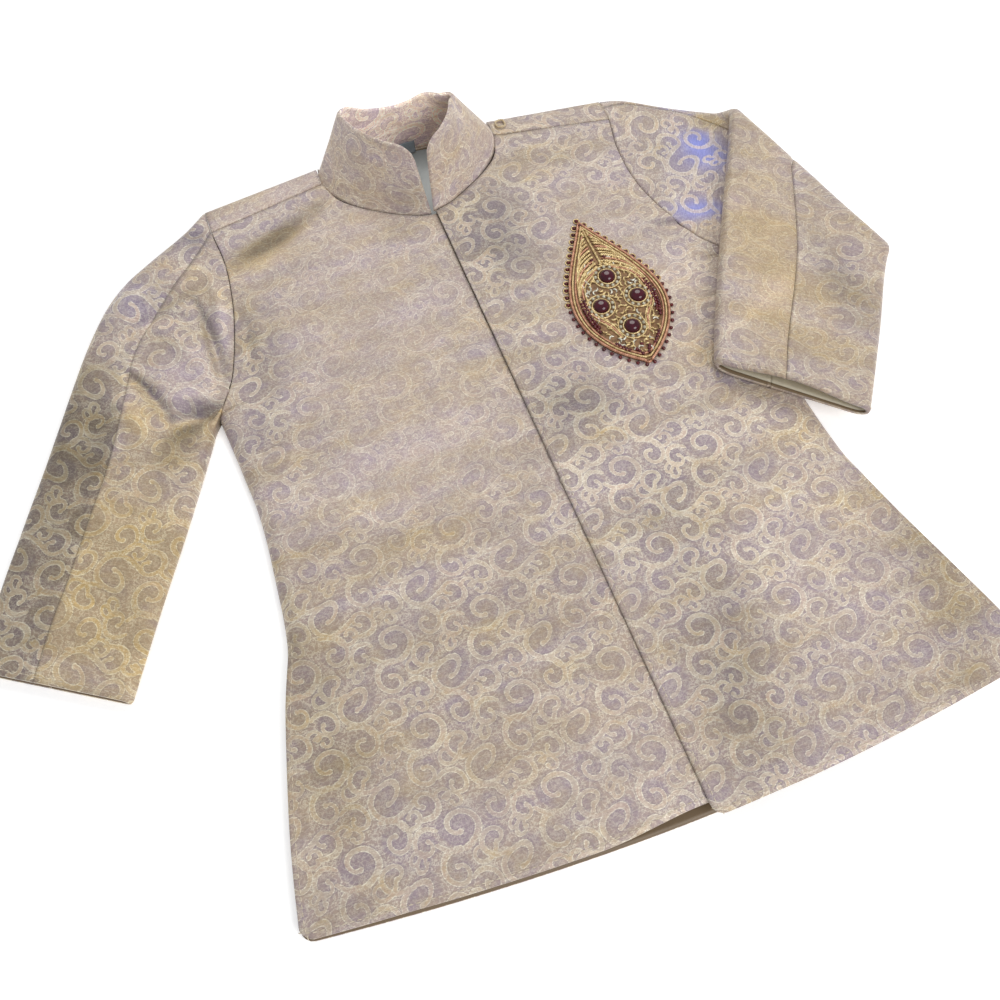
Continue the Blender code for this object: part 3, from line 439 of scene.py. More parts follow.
def brocade_finish(name, scroll_size):
    """The brocade with its scrolls larger or smaller. scroll_size over 1 makes them smaller."""
    made, tree, shader = add_material(name)
    place = add_node(tree, "ShaderNodeAttribute", attribute_name="weave").outputs
    tint = add_node(tree, "ShaderNodeAttribute", attribute_name="tint").outputs
    woven = place_group(
        tree,
        brocade_weave,
        Place=place["Vector"],
        Tint=tint["Color"],
        Violet=tint["Alpha"],
        Scroll_Size=scroll_size,
    )
    set_sockets(
        shader,
        Base_Color=woven["Color"],
        Metallic=woven["Metal"],
        Roughness=woven["Roughness"],
        Normal=relief_of(tree, woven["Height"], 0.75, 0.0004),
        Sheen_Weight=0.35,
        Sheen_Roughness=0.4,
        Sheen_Tint=(1.0, 0.95, 0.9, 1.0),
    )
    return made


def satin_finish(name, colour, roughness):
    """Plain satin: one colour with a fine grain across and a slow change along."""
    made, tree, shader = add_material(name)
    place = tree.nodes.new("ShaderNodeTexCoord").outputs["Object"]
    threads = noise_of(tree, mapped(tree, place, Scale=(2600.0, 500.0, 900.0)), 1.0)
    share = calc(tree, "MULTIPLY_ADD", threads, 0.4, -0.2)
    share = calc(tree, "MULTIPLY_ADD", noise_of(tree, place, 45.0), 0.7, share)
    darker = tuple(0.72 * channel for channel in colour) + (1.0,)
    set_sockets(
        shader,
        Base_Color=blend_colours(tree, share, darker, (*colour, 1.0)),
        Roughness=roughness,
        Normal=relief_of(tree, threads, 0.35, 0.0002),
        Sheen_Weight=0.2,
    )
    return made


brocade = brocade_finish("brocade", 0.9)
sleeve_brocade = brocade_finish("sleeve_brocade", 0.82)
collar_brocade = brocade_finish("collar_brocade", 0.95)
tan_lining = satin_finish("tan_lining", (0.26, 0.18, 0.10), 0.45)
cream_satin = satin_finish("cream_satin", (0.84, 0.76, 0.58), 0.38)
grey_satin = satin_finish("grey_satin", (0.40, 0.45, 0.45), 0.34)

# ---- back ------------------------------------------------------------------------------------
# One panel of brocade from hem to neck, lying face down on the table. Its top is turned up over the
# shoulders and comes forward to meet the fronts at the shoulder seams.
MM = 0.001
ORIGIN_Y = 200.0  # mm. The tables count Y from the back hem, and the frame's origin lies this far up
CLOTH = 1.7  # mm, brocade with its interlining and lining
SEAM_GAP = 0.22
LAY_HEIGHT = 9.4  # top of the fronts above the table
SHOULDER_FOLD_RADIUS = LAY_HEIGHT / 2
NECK_HALF = 52.0
SLIT_TOP_Y, ARMPIT_Y = 138.0, 268.0
SIDE_COLUMNS = ("y", "right", "left")  # half widths to the wearer's right and left
SIDE_TABLE = (
    (12.0, 178.0, 175.0),
    (38.0, 173.5, 168.5),
    (64.0, 168.0, 161.0),
    (107.0, 157.0, 148.5),
    (SLIT_TOP_Y, 147.5, 141.5),
    (173.0, 143.5, 138.5),
    (206.0, 141.5, 138.5),
    (236.0, 143.0, 141.5),
    (ARMPIT_Y, 145.5, 145.0),
)
ARMHOLE_TABLE = (
    (ARMPIT_Y, 145.5, 145.0),
    (275.5, 139.5, 138.5),
    (288.0, 132.5, 129.5),
    (310.0, 125.5, 120.5),
    (335.0, 120.0, 114.5),
    (360.0, 117.5, 114.5),
    (384.0, 119.0, 119.0),
)
SHOULDER_FOLD = {"neck": (NECK_HALF, 409.5), "tip": (119.0, 401.0)}
SHOULDER_SEAM_Y = {"neck": 396.0, "tip": 384.0}
BACK_NECK_Y = 409.5
BACK_NECK_TABLE = ((0.0, 0.0), (26.0, 0.0), (40.0, -0.5), (48.0, 1.0), (NECK_HALF, 7.5))
FLAT_NECK, FLAT_NECK_X = 8.0, (43.0, 51.0)  # the turn over the shoulder lies further back at the neck
HEM_RISE, HEM_CORNER_X, HEM_CURVE = 12.0, 176.0, 1.9
WRAP = math.pi * SHOULDER_FOLD_RADIUS
ROWS_BELOW_SLIT, ROWS_BESIDE, ROWS_AT_ARMHOLE, ROWS_OF_TURN = 62, 56, 64, 30
NECK_SHARE, BACK_COLUMNS = 0.42, 62
NECK_SHARES_BELOW, NECK_SHARES_ABOVE = (0.33, 0.375), (0.6, 0.8)  # the last two columns at the neckline
TURN_START = 0.93  # share of the centre line at which the rows of the turn begin
EDGE_ROLL = 0.9  # how far in from a sewn edge the cloth has turned level
SEAM_ROLL = 0.6
EDGE_DROP = 0.75  # how far the cloth sinks at an edge, as a share of its roll
HEM_CORNER = 6.0  # radius of the rounded corners of the hems

BACK_CREASES = (
    # start, end, bow, rise and half width
    ((-120, 96), (-20, 118), 6, 0.5, 9),
    ((30, 60), (140, 84), -5, 0.4, 8),
    ((-90, 210), (60, 232), 9, 0.5, 11),
    ((20, 300), (110, 262), 6, 0.6, 8),
    ((-108, 330), (-30, 296), -7, 0.5, 10),
    ((-60, 20), (-40, 150), 5, 0.35, 8),
)


def smooth(value):
    value = np.clip(value, 0.0, 1.0)
    return value * value * (3.0 - 2.0 * value)


def quarter_round(value):
    """Rises from 0 to 1 as a quarter circle does."""
    value = np.clip(value, 0.0, 1.0)
    return np.sqrt(np.clip(1.0 - (1.0 - value) ** 2, 0.0, 1.0))


def edge_drop(distance, roll):
    """How far the cloth sinks at a distance from an edge that is rolled in."""
    return EDGE_DROP * roll * (1 - quarter_round(distance / roll))


def in_plan(grid):
    """The x and the y of a grid's points."""
    return grid[:, :, 0], grid[:, :, 1]


def run_along(points):
    """How far along a polyline each of its points lies."""
    steps = np.linalg.norm(np.diff(points, axis=0), axis=1)
    return np.concatenate([[0.0], np.cumsum(steps)])


def reach_along(points):
    """The share of a polyline's length at each of its points."""
    run = run_along(points)
    return run / run[-1]


def along(points, shares):
    """Points at the given shares of a polyline's length."""
    points = np.asarray(points, float)
    reach = reach_along(points)
    return np.stack([np.interp(shares, reach, column) for column in points.T], axis=1)


def rounded_path(points, samples=60):
    """A smooth curve through the points (Catmull-Rom), as a fine polyline."""
    points = np.asarray(points, float)
    ends = np.vstack([2 * points[0] - points[1], points, 2 * points[-1] - points[-2]])
    found = []
    for index in range(len(points) - 1):
        before, start, end, after = ends[index : index + 4]
        for step in np.linspace(0.0, 1.0, samples // (len(points) - 1) + 2)[:-1]:
            bend = (2 * before - 5 * start + 4 * end - after) * step**2
            twist = (3 * start - before - 3 * end + after) * step**3
            found.append(0.5 * (2 * start + (end - before) * step + bend + twist))
    return np.vstack([found, points[-1]])


def filled(bottom, top, left, right):
    """A grid of plan points stretched between four edges that share their corners."""
    v = reach_along(right)[:, None, None]
    u = reach_along(bottom)[None, :, None]
    across = (1 - v) * bottom[None] + v * top[None]
    upward = (1 - u) * left[:, None] + u * right[:, None]
    low_corners = (1 - u) * bottom[0] + u * bottom[-1]
    high_corners = (1 - u) * top[0] + u * top[-1]
    return across + upward - (1 - v) * low_corners - v * high_corners


def outer_edge(side):
    """The side seam and the armhole of one half, from the hem to the shoulder."""
    sign = -1.0 if side == "right" else 1.0
    column = SIDE_COLUMNS.index(side)
    seam, hole = (np.array(table)[:, [column, 0]] * (sign, 1.0) for table in (SIDE_TABLE, ARMHOLE_TABLE))
    return rounded_path(seam), rounded_path(hole)


def edge_rows(side):
    """Points of the outer edge that every panel beside it shares, and their share of the armhole."""
    seam, hole = outer_edge(side)
    split = np.argmin(np.abs(seam[:, 1] - SLIT_TOP_Y))
    armhole_shares = np.linspace(0.0, 1.0, ROWS_AT_ARMHOLE) ** 1.3
    below = along(seam[: split + 1], np.linspace(0.0, 1.0, ROWS_BELOW_SLIT + 1))[:-1]
    beside = along(seam[split:], np.linspace(0.0, 1.0, ROWS_BESIDE + 1))[:-1]
    shares = np.concatenate([np.zeros(ROWS_BELOW_SLIT + ROWS_BESIDE), armhole_shares])
    return np.vstack([below, beside, along(hole, armhole_shares)]), shares


def hem_y(x, centre_y):
    return centre_y + (HEM_RISE - centre_y) * np.abs(x / HEM_CORNER_X) ** HEM_CURVE


def fold_y(x):
    """The line at which the back turns up over the shoulders."""
    (x_neck, y_neck), (x_tip, y_tip) = SHOULDER_FOLD["neck"], SHOULDER_FOLD["tip"]
    slope = (y_tip - y_neck) * np.clip((np.abs(x) - x_neck) / (x_tip - x_neck), 0.0, 1.0)
    low, high = FLAT_NECK_X
    return y_neck + slope + FLAT_NECK * (1 - smooth((np.abs(x) - low) / (high - low))) - SHOULDER_FOLD_RADIUS


def rolled_over_shoulder(plan):
    """Lays the flat back down and turns what lies past the fold line up and forward."""
    x, y = in_plan(plan)
    past = y - fold_y(x)
    angle = np.clip(past / SHOULDER_FOLD_RADIUS, 0.0, math.pi)
    turned_y = fold_y(x) + SHOULDER_FOLD_RADIUS * np.sin(angle) - np.clip(past - WRAP, 0.0, None)
    turned_z = SHOULDER_FOLD_RADIUS * (1 - np.cos(angle))
    on_table = past <= 0
    return np.dstack([x, np.where(on_table, y, turned_y), np.where(on_table, 0.0, turned_z)])


def moved_in(line, inner, by):
    """A line of points moved by a distance towards the line beside it."""
    inward = inner - line
    return line + by * inward / np.linalg.norm(inward, axis=1, keepdims=True)


def half_back(side):
    """Plan points of one half of the back, from the centre line to the side, not yet turned."""
    sign = -1.0 if side == "right" else 1.0
    neck_columns = round(BACK_COLUMNS * NECK_SHARE)
    neck_part = np.linspace(0.0, NECK_SHARES_BELOW[0], neck_columns)
    seam_part = np.linspace(NECK_SHARE, 1.0, BACK_COLUMNS - neck_columns + 1)
    shares = np.concatenate([neck_part, NECK_SHARES_BELOW[1:], seam_part])
    edge, _ = edge_rows(side)
    tip = np.array([sign * SHOULDER_FOLD["tip"][0], fold_y(SHOULDER_FOLD["tip"][0])])
    tip_reach = 2 * tip[1] + WRAP - SHOULDER_SEAM_Y["tip"] - SEAM_GAP
    neck_reach = 2 * fold_y(NECK_HALF) + WRAP - SHOULDER_SEAM_Y["neck"] - SEAM_GAP
    turn = along([tip, (tip[0], tip_reach)], np.linspace(0, 1, ROWS_OF_TURN + 1))[1:]
    right = np.vstack([edge, turn])
    hem_x = right[0, 0] * shares
    bottom = np.stack([hem_x, hem_y(hem_x, 0.0)], axis=1)
    neck = np.array(BACK_NECK_TABLE) * (sign, 1.0) + (0.0, BACK_NECK_Y)
    neck = np.vstack([neck, (sign * NECK_HALF, neck_reach)])
    top_seam = along([neck[-1], right[-1]], np.linspace(0, 1, BACK_COLUMNS - neck_columns + 1))
    neck_shares = [*np.linspace(0, NECK_SHARES_ABOVE[0], neck_columns), NECK_SHARES_ABOVE[1], 1.0]
    top = np.vstack([along(neck, neck_shares)[:-1], top_seam])
    low_rows = np.linspace(0.0, TURN_START, len(edge))
    high_rows = np.linspace(TURN_START, 1.0, ROWS_OF_TURN + 1)[1:]
    left = along([bottom[0], top[0]], np.concatenate([low_rows, high_rows]))
    plan = filled(bottom, top, left, right)
    plan[:, -1] = moved_in(plan[:, -1], plan[:, -2], SEAM_GAP / 2)
    return corner_rounded(plan, 0, -1, HEM_CORNER)


def corner_rounded(plan, row, column, radius):
    """Rounds one corner of a grid of plan points: its outermost rows and columns bend round it."""
    plan = plan.copy()
    corner = plan[row, column]
    inner_row, inner_column = (1 if row == 0 else -2), (1 if column == 0 else -2)
    along_hem = plan[row, inner_column] - corner
    along_side = plan[inner_row, column] - corner
    along_hem /= np.linalg.norm(along_hem)
    along_side /= np.linalg.norm(along_side)
    turn = along_hem[0] * along_side[1] - along_hem[1] * along_side[0]
    away = plan - corner
    side_share = 1 - (away[..., 0] * along_side[1] - away[..., 1] * along_side[0]) / turn / radius
    hem_share = 1 - (along_hem[0] * away[..., 1] - along_hem[1] * away[..., 0]) / turn / radius
    near = (side_share > 0) & (hem_share > 0)
    side_share, hem_share = np.clip(side_share, 0, 1), np.clip(hem_share, 0, 1)
    from_side = radius * (side_share - side_share * np.sqrt(1 - hem_share**2 / 2))
    from_hem = radius * (hem_share - hem_share * np.sqrt(1 - side_share**2 / 2))
    from_side, from_hem = (np.where(near, move, 0.0)[..., None] for move in (from_side, from_hem))
    return plan + from_side * along_hem + from_hem * along_side


def line_inside(grid, distance, inset, axis):
    """The points of a grid's lines that lie at one distance from the edge where the lines start."""
    if axis == 1:
        grid, distance = grid.transpose(1, 0, 2), distance.T
    found = []
    for column in range(grid.shape[1]):
        reach = np.maximum.accumulate(distance[:, column])
        found.append([np.interp(inset, reach, grid[:, column, part]) for part in range(3)])
    return np.array(found)


def crease_relief(x, y, creases):
    """How far soft creases lift the cloth at a place. A trough has a negative rise.

    A crease is lower towards both of its ends, and grows wider from its start to its end.
    """
    total = np.zeros_like(x)
    for start, end, bow, rise, half_width in creases:
        start, end = np.asarray(start), np.asarray(end)
        run = end - start
        length = math.hypot(*run)
        share = ((x - start[0]) * run[0] + (y - start[1]) * run[1]) / length**2
        beside = ((y - start[1]) * run[0] - (x - start[0]) * run[1]) / length
        held = np.clip(share, 0.0, 1.0)
        beside = beside - bow * 4 * held * (1 - held)
        far = np.hypot(beside, (share - held) * length)
        taper = 0.3 + 0.7 * np.sin(math.pi * np.clip(held, 0.04, 0.96))
        width = half_width * (0.75 + 0.5 * held)
        total += rise * taper * np.exp(-np.abs(far / width) ** 1.7)
    return total


def rumple(x, y, size, seed):
    """Smooth unevenness of the given size, from -1 to 1."""
    found = np.empty(x.shape)
    for index in np.ndindex(x.shape):
        found[index] = noise.noise(Vector((x[index] / size, y[index] / size, seed)))
    return found


def normals_of(grid):
    normal = np.cross(np.gradient(grid, axis=1), np.gradient(grid, axis=0))
    return normal / np.maximum(np.linalg.norm(normal, axis=2, keepdims=True), 1e-9)


def patch_value(x, y, patches, column):
    """Adds up soft oval patches: centre, half sizes, turn in degrees, then a value for each column."""
    total = np.zeros_like(x)
    for centre, half_sizes, turn, *values in patches:
        turn = math.radians(turn)
        dx, dy = x - centre[0], y - centre[1]
        along_patch = (dx * math.cos(turn) + dy * math.sin(turn)) / half_sizes[0]
        across_patch = (dy * math.cos(turn) - dx * math.sin(turn)) / half_sizes[1]
        total += values[column] * np.exp(-(along_patch**2 + across_patch**2))
    return total


def frame_mesh(name, points, edges, faces, materials=()):
    """A mesh of points given in the tables' millimetres, put in its place in the frame, in metres."""
    mesh = bpy.data.meshes.new(name)
    mesh.from_pydata(((points - (0.0, ORIGIN_Y, 0.0)) * MM).tolist(), edges, faces)
    for material in materials:
        mesh.materials.append(material)
    return mesh


def cloth_shell(name, outer, inner, weave, tint, materials, inner_tint=None):
    """A closed shell between two grids. weave is each point's place on the cloth, in millimetres."""
    inner_tint = tint if inner_tint is None else inner_tint
    rows, columns = outer.shape[:2]
    count = rows * columns
    index = np.arange(count).reshape(rows, columns)
    quads = np.stack([index[:-1, :-1], index[:-1, 1:], index[1:, 1:], index[1:, :-1]], axis=2).reshape(-1, 4)
    rim = np.concatenate([index[0], index[1:, -1], index[-1, -2::-1], index[-2:0:-1, 0]])
    after = np.roll(rim, -1)
    edge_quads = np.stack([after, rim, rim + count, after + count], axis=1)
    faces = np.vstack([quads, quads[:, ::-1] + count, edge_quads])
    points = np.vstack([outer.reshape(-1, 3), inner.reshape(-1, 3)])
    if face_volume(points, faces) < 0:
        faces = faces[:, ::-1]
    mesh = frame_mesh(name, points, [], faces.tolist(), materials)
    places = mesh.attributes.new("weave", "FLOAT_VECTOR", "POINT")
    places.data.foreach_set("vector", np.tile(np.dstack([weave, weave[:, :, :1] * 0]).reshape(-1), 2))
    tints = mesh.attributes.new("tint", "FLOAT_COLOR", "POINT")
    tints.data.foreach_set("color", np.concatenate([tint.reshape(-1), inner_tint.reshape(-1)]))
    inside = np.zeros(len(faces), int)
    inside[len(quads) : 2 * len(quads)] = len(materials) - 1
    mesh.polygons.foreach_set("material_index", inside)
    mesh.shade_smooth()
    return add_object(name, mesh)


def face_volume(points, faces):
    """Six times the volume inside, which is negative where the faces point inwards."""
    first, second, third, fourth = (points[faces[:, corner]] for corner in range(4))
    halves = np.cross(second, third) * first, np.cross(third, fourth) * first
    return sum(half.sum() for half in halves)


# painted sheen and shade on the folds: slopes that face this way in plan, towards the key lamp, are painted
# lighter and more golden
SHEEN_DIRECTION = (0.45, 0.89)
SHEEN_GOLD, SHEEN_LIGHT = 0.7, 0.8
STEEPEST, FLATTEST_CELL = 0.6, 1e-4
PLAIN_TINT, FULLEST_TINT = (0.5, 0.5, 0.5, 0.0), 1.42  # gold, lightness, contrast and violet
TINT_DRIFT = (
    # the slow change of the tint: its column, strength, size in millimetres and seed
    (0, 0.16, 46.0, 3.1),
    (0, 0.08, 17.0, 5.7),
    (1, 0.05, 38.0, 8.3),
)


def slope_towards(x, y, relief, direction):
    """How steeply a grid's relief rises in a direction of the plan."""
    rows = [np.gradient(value, axis=0) for value in (x, y, relief)]
    columns = [np.gradient(value, axis=1) for value in (x, y, relief)]
    area = columns[0] * rows[1] - columns[1] * rows[0]
    area = np.where(np.abs(area) < FLATTEST_CELL, FLATTEST_CELL, area)
    along_x = (columns[2] * rows[1] - columns[1] * rows[2]) / area
    along_y = (columns[0] * rows[2] - columns[2] * rows[0]) / area
    return np.clip(along_x * direction[0] + along_y * direction[1], -STEEPEST, STEEPEST)


def tone_and_painted_light(x, y, patches, relief=None):
    """Gold, lightness, contrast and violet at each point: a base, soft patches and a slow change.

    Painted sheen and shade: the slopes of its folds that face the shoulders, towards the key lamp, are
    painted lighter and more golden, and those that face away darker. Many patches are painted shade,
    highlights or sheen.
    """
    values = [base + patch_value(x, y, patches, column) for column, base in enumerate(PLAIN_TINT)]
    for column, strength, size, seed in TINT_DRIFT:
        values[column] = values[column] + strength * rumple(x, y, size, seed)
    if relief is not None:
        slope = slope_towards(x, y, relief, SHEEN_DIRECTION)
        values[0] = values[0] - SHEEN_GOLD * slope
        values[1] = values[1] - SHEEN_LIGHT * slope
    return np.clip(np.stack(values, axis=-1), 0.0, FULLEST_TINT)


whole = np.concatenate([half_back("right")[:, :0:-1], half_back("left")], axis=1)
lifted = np.abs(crease_relief(*in_plan(whole), BACK_CREASES))
outer = rolled_over_shoulder(whole)
outer[:, :, 2] += lifted
inner = outer + normals_of(outer) * CLOTH
BACK_PATCHES = (((-85.0, 425.0), (46.0, 20.0), -8.0, 0.0, 0.14, -0.42, 0.0),)
back = cloth_shell(
    "back_panel",
    outer,
    inner,
    whole,
    tone_and_painted_light(*in_plan(whole), BACK_PATCHES),
    [brocade, tan_lining],
)
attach(back, "root")
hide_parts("back")

# ---- fronts ----------------------------------------------------------------------------------
# Two panels of brocade lined with satin. The wearer's left front lies on top along the centre, and
# the right one runs on under it. Both are sewn to the back at the side above the open slit.
CENTRE_EDGE_X, UNDERLAP, OVERLAP_SLOPE = 2.0, 20.0, 38.0
HEM_LIFT, HEM_LIFT_X, HEM_LIFT_Y = 0.6, 110.0, 70.0
SIDE_ROUND, SLIT_SLOPE, SLIT_EASE, SLIT_FADE = 9.0, 48.0, 0.8, 14.0
CAD_WALL = 2.8  # the solids' wall, which sets how high the edges lie
SIDE_SEAM_Z = CAD_WALL + SEAM_GAP
SLIT_EDGE_Z = 2 * CAD_WALL + 2 * SEAM_GAP
ARMHOLE_LENGTH, ARMPIT_ROUND = 128.0, 15.0
ARMPIT_REACH, ARMHOLE_REACH = 3.0, 22.0  # how far in from the armhole the cloth bends down to it
REACH_SHARE, LEVEL_SHARE, CREASE_SHARE = 0.03, 0.02, 0.125  # shares of the armhole, from the armpit
UNDER_FRONT_HEM_Y, UNDER_FRONT_LIFT, UNDER_FRONT_LIFT_X = 0.4, 3.6, 50.0
UPPER_FRONT_HEM_Y = -3.0
FRONT_COLUMNS = 96
CENTRE_SHARES, SEAM_SHARES = (0.0, 0.01, 0.03, 0.06), (0.97, 0.985, 0.995, 1.0)  # close columns at edges
NECK_COLUMN_SHARE = 0.42  # share of the columns that end at the neckline
STITCH_INSET = 2.4  # of the topstitching from an edge
NECKLINE_TABLE = (
    (0.0, 353.0), (13.0, 357.0), (26.0, 364.0), (38.0, 372.5), (47.0, 382.0), (NECK_HALF, 396.0)
)
UNDERLAP_NECK = ((CENTRE_EDGE_X + UNDERLAP, 362.0), (11.0, 356.0))  # where it runs on, underneath
RIGHT_FRONT_CREASES = (
    ((-62, 378), (-114, 356), 2, -2.8, 5.5),
    ((-70, 366), (-112, 346), 2, 1, 5),
    ((-106, 318), (-128, 262), 2, -1.2, 7),
    ((-118, 326), (-124, 288), 2, -1, 3.5),
    ((-112, 340), (-60, 350), 3, 0.6, 4),
    ((-40, 190), (-130, 214), 4, -0.8, 13),
    ((-20, 312), (-112, 300), -6, 0.6, 9),
    ((-30, 262), (-104, 274), 5, -0.5, 9),
    ((-8, 128), (-96, 116), 7, -0.6, 10),
    ((-50, 68), (-146, 84), -5, 0.5, 12),
    ((-12, 236), (-70, 224), 3, 0.4, 8),
    ((-70, 154), (-128, 148), -4, 0.5, 8),
    ((-20, 30), (-60, 112), 8, 0.5, 14),
)
LEFT_FRONT_CREASES = (
    ((60, 372), (104, 338), 3, -0.9, 8),
    ((114, 300), (135, 293), 2, -1.6, 3),
    ((108, 309), (132, 301), -2, 0.8, 3.5),
    ((40, 226), (128, 232), 5, -0.9, 12),
    ((16, 330), (70, 316), -4, 0.5, 9),
    ((10, 196), (84, 178), 6, -0.6, 10),
    ((60, 150), (134, 164), -5, 0.6, 10),
    ((14, 110), (110, 92), 8, -0.6, 12),
    ((40, 54), (140, 66), -7, 0.5, 13),
    ((24, 270), (40, 214), 3, 0.4, 8),
    ((90, 24), (70, 96), 6, 0.4, 12),
)
# soft patches of tone and of painted light, with painted shade in a trough, along the armhole and under the
# folded sleeve
FRONT_PATCHES = {
    # centre, half sizes, turn, then gold, lightness, contrast and violet
    "right": (
        # painted shade in the trough under the right shoulder
        ((-87, 368), (30, 5.5), 23, 1, -0.55, -0.2, 0),
        ((-96, 352), (34, 12), 20, 0.1, 0.04, -0.2, 0),
        # painted shade along the armhole
        ((-119, 302), (10, 28), 0, 0.2, -0.3, 0.3, 0),
        ((-126, 256), (12, 20), 0, 0, -0.15, 0.2, 0),
        ((-30, 366), (26, 12), 30, 0, 0.12, -0.3, 0),
        ((-52, 290), (60, 84), 0, 0, 0.05, -0.4, 0),
        ((-60, 190), (60, 40), 0, 0, 0, -0.2, 0),
        ((-62, 212), (48, 15), 8, -0.2, 0.2, -0.1, 0),
        ((-70, 168), (60, 14), -6, 0.15, -0.07, 0.1, 0),
        ((-80, 110), (66, 38), 0, 0.1, -0.1, 0.15, 0),
        ((-146, 100), (20, 60), 0, 0.25, -0.14, 0.3, 0),
        ((-40, 58), (50, 20), 12, 0.2, -0.03, 0, 0),
        ((-120, 30), (30, 20), 0, -0.15, 0, 0.1, 0),
    ),
    "left": (
        ((26, 330), (26, 36), 0, -0.2, -0.36, 0.4, 0),
        ((26, 210), (24, 18), 0, 0, -0.3, 0.3, 0),
        ((30, 168), (22, 14), 0, 0, 0.12, 0, 0),
        # painted shadow that the folded sleeve casts on the front
        ((116, 195), (22, 6.5), -20, -0.4, -0.26, 0, 0.14),
        ((104, 18), (44, 14), 0, 0, -0.1, 0, 0),
        ((38, 56), (20, 54), -10, 0.05, -0.3, 0.35, 0),
        ((44, 150), (34, 40), 0, -0.12, -0.06, 0.4, 0),
        ((104, 262), (28, 16), 0, 0.15, 0.2, 0, 0),
        ((134, 236), (26, 14), -20, 0, 0.2, 0, 0),
        ((100, 116), (34, 46), -15, -0.05, 0.12, 0.05, 0),
        ((152, 60), (18, 66), -14, 0.35, -0.24, 0.1, 0),
        ((112, 212), (36, 20), 0, 0.25, 0.04, 0, 0),
        ((70, 300), (44, 46), 0, -0.05, 0.04, -0.3, 0),
        ((110, 160), (30, 14), -20, 0.1, 0.08, 0.1, 0),
    ),
}


def armhole_height(share):
    return SIDE_SEAM_Z + (LAY_HEIGHT - SIDE_SEAM_Z) * quarter_round(share * ARMHOLE_LENGTH / ARMPIT_ROUND)


def overlap_rise(x, upper):
    """How much higher the upper front lies, where the lower one runs on under it."""
    if not upper:
        return np.zeros_like(x)
    run = (CENTRE_EDGE_X + UNDERLAP + OVERLAP_SLOPE - x) / OVERLAP_SLOPE
    return (CLOTH + SEAM_GAP) * smooth(run)


def lay_of_front(grid, upper, shares, creases):
    """Height of a front panel's outer face over its plan points."""
    x, y = in_plan(grid)
    edge, shares = grid[:, -1:, :], shares[:, None]
    inward = np.hypot(x - edge[:, :, 0], y - edge[:, :, 1])
    high = LAY_HEIGHT + overlap_rise(x, upper)
    high = high + HEM_LIFT * smooth((HEM_LIFT_Y - y) / HEM_LIFT_Y) * smooth(1.0 - np.abs(x) / HEM_LIFT_X)
    high = high + crease_relief(x, y, creases)
    turned = SIDE_SEAM_Z + (high - SIDE_SEAM_Z) * quarter_round(inward / SIDE_ROUND)
    flared = SLIT_EDGE_Z + (high - SLIT_EDGE_Z) * smooth(inward / SLIT_SLOPE) ** SLIT_EASE
    open_slit = smooth((SLIT_TOP_Y - edge[:, :, 1]) / SLIT_FADE)
    height = turned * (1 - open_slit) + flared * open_slit
    reach = ARMPIT_REACH + (ARMHOLE_REACH - ARMPIT_REACH) * smooth(shares / REACH_SHARE)
    near_armhole = 1 - smooth(inward / reach)
    at_armhole = armhole_height(shares) + (high - LAY_HEIGHT) * smooth(shares / CREASE_SHARE)
    level = at_armhole * near_armhole + high * (1 - near_armhole)
    above = smooth(shares / LEVEL_SHARE)
    return height * (1 - above) + level * above


def front_plan(side, upper):
    """Plan points of one front, from its centre edge to its side and armhole."""
    sign = -1.0 if side == "right" else 1.0
    centre_y = UPPER_FRONT_HEM_Y if upper else UNDER_FRONT_HEM_Y
    centre_x = CENTRE_EDGE_X if upper else CENTRE_EDGE_X + UNDERLAP
    right, shares = edge_rows(side)
    neck_count = round(FRONT_COLUMNS * NECK_COLUMN_SHARE)
    neck_shares = np.array([*CENTRE_SHARES, *np.linspace(CENTRE_SHARES[-1], 1.0, neck_count)[1:]])
    seam_shares = np.linspace(0.0, SEAM_SHARES[0], FRONT_COLUMNS - neck_count)
    seam_shares = np.array([*seam_shares, *SEAM_SHARES[1:]])
    beyond_neck = NECK_COLUMN_SHARE + (1 - NECK_COLUMN_SHARE) * seam_shares
    column_shares = np.concatenate([NECK_COLUMN_SHARE * neck_shares[:-1], beyond_neck])
    hem_x = centre_x + (right[0, 0] - centre_x) * column_shares
    bottom = np.stack([hem_x, hem_y(hem_x, centre_y)], 1)
    if not upper:
        bottom[:, 1] += UNDER_FRONT_LIFT * smooth(1 - np.abs(hem_x) / UNDER_FRONT_LIFT_X)
    bottom[-1] = right[0]
    half_neck = np.array(NECKLINE_TABLE) * (sign, 1.0)
    if upper:
        neck = rounded_path(half_neck)
        neck[0, 0] = centre_x
    else:
        neck = rounded_path(np.vstack([UNDERLAP_NECK, half_neck]))
    seam = [(sign * SHOULDER_FOLD[end][0], SHOULDER_SEAM_Y[end]) for end in ("neck", "tip")]
    top = np.vstack([along(neck, neck_shares)[:-1], along(seam, seam_shares)])
    left = along([bottom[0], top[0]], reach_along(right))
    top[-1] = right[-1]
    return filled(bottom, top, left, right), shares


def pulled_in(plan, by):
    """Moves the two outer edges of a plan grid inwards, to leave room at the seams."""
    plan = plan.copy()
    plan[:, -1] = moved_in(plan[:, -1], plan[:, -2], by)
    plan[-1] = moved_in(plan[-1], plan[-2], by)
    return plan


def from_edges(plan):
    """Distance of each plan point from the grid's first and last row, and first and last column."""
    edges = (plan[:1], plan[-1:], plan[:, :1], plan[:, -1:])
    return [np.hypot(*(plan - edge).transpose(2, 0, 1)) for edge in edges]


stitch_lines = []  # each is a row of points along which a seam is topstitched
HEM_LIGHTER = 0.10
SOFT_DEPTH, SOFT_SIZE = 0.35, 34.0  # the slow unevenness of the laid cloth
CRINKLE_DEPTH, CRINKLE_LENGTH, CRINKLE_SIZE = 0.3, 3.0, 10.0
LOOSE_FROM_Z, LOOSE_OVER = 6.0, 3.0  # lower than this the cloth is held by its seams


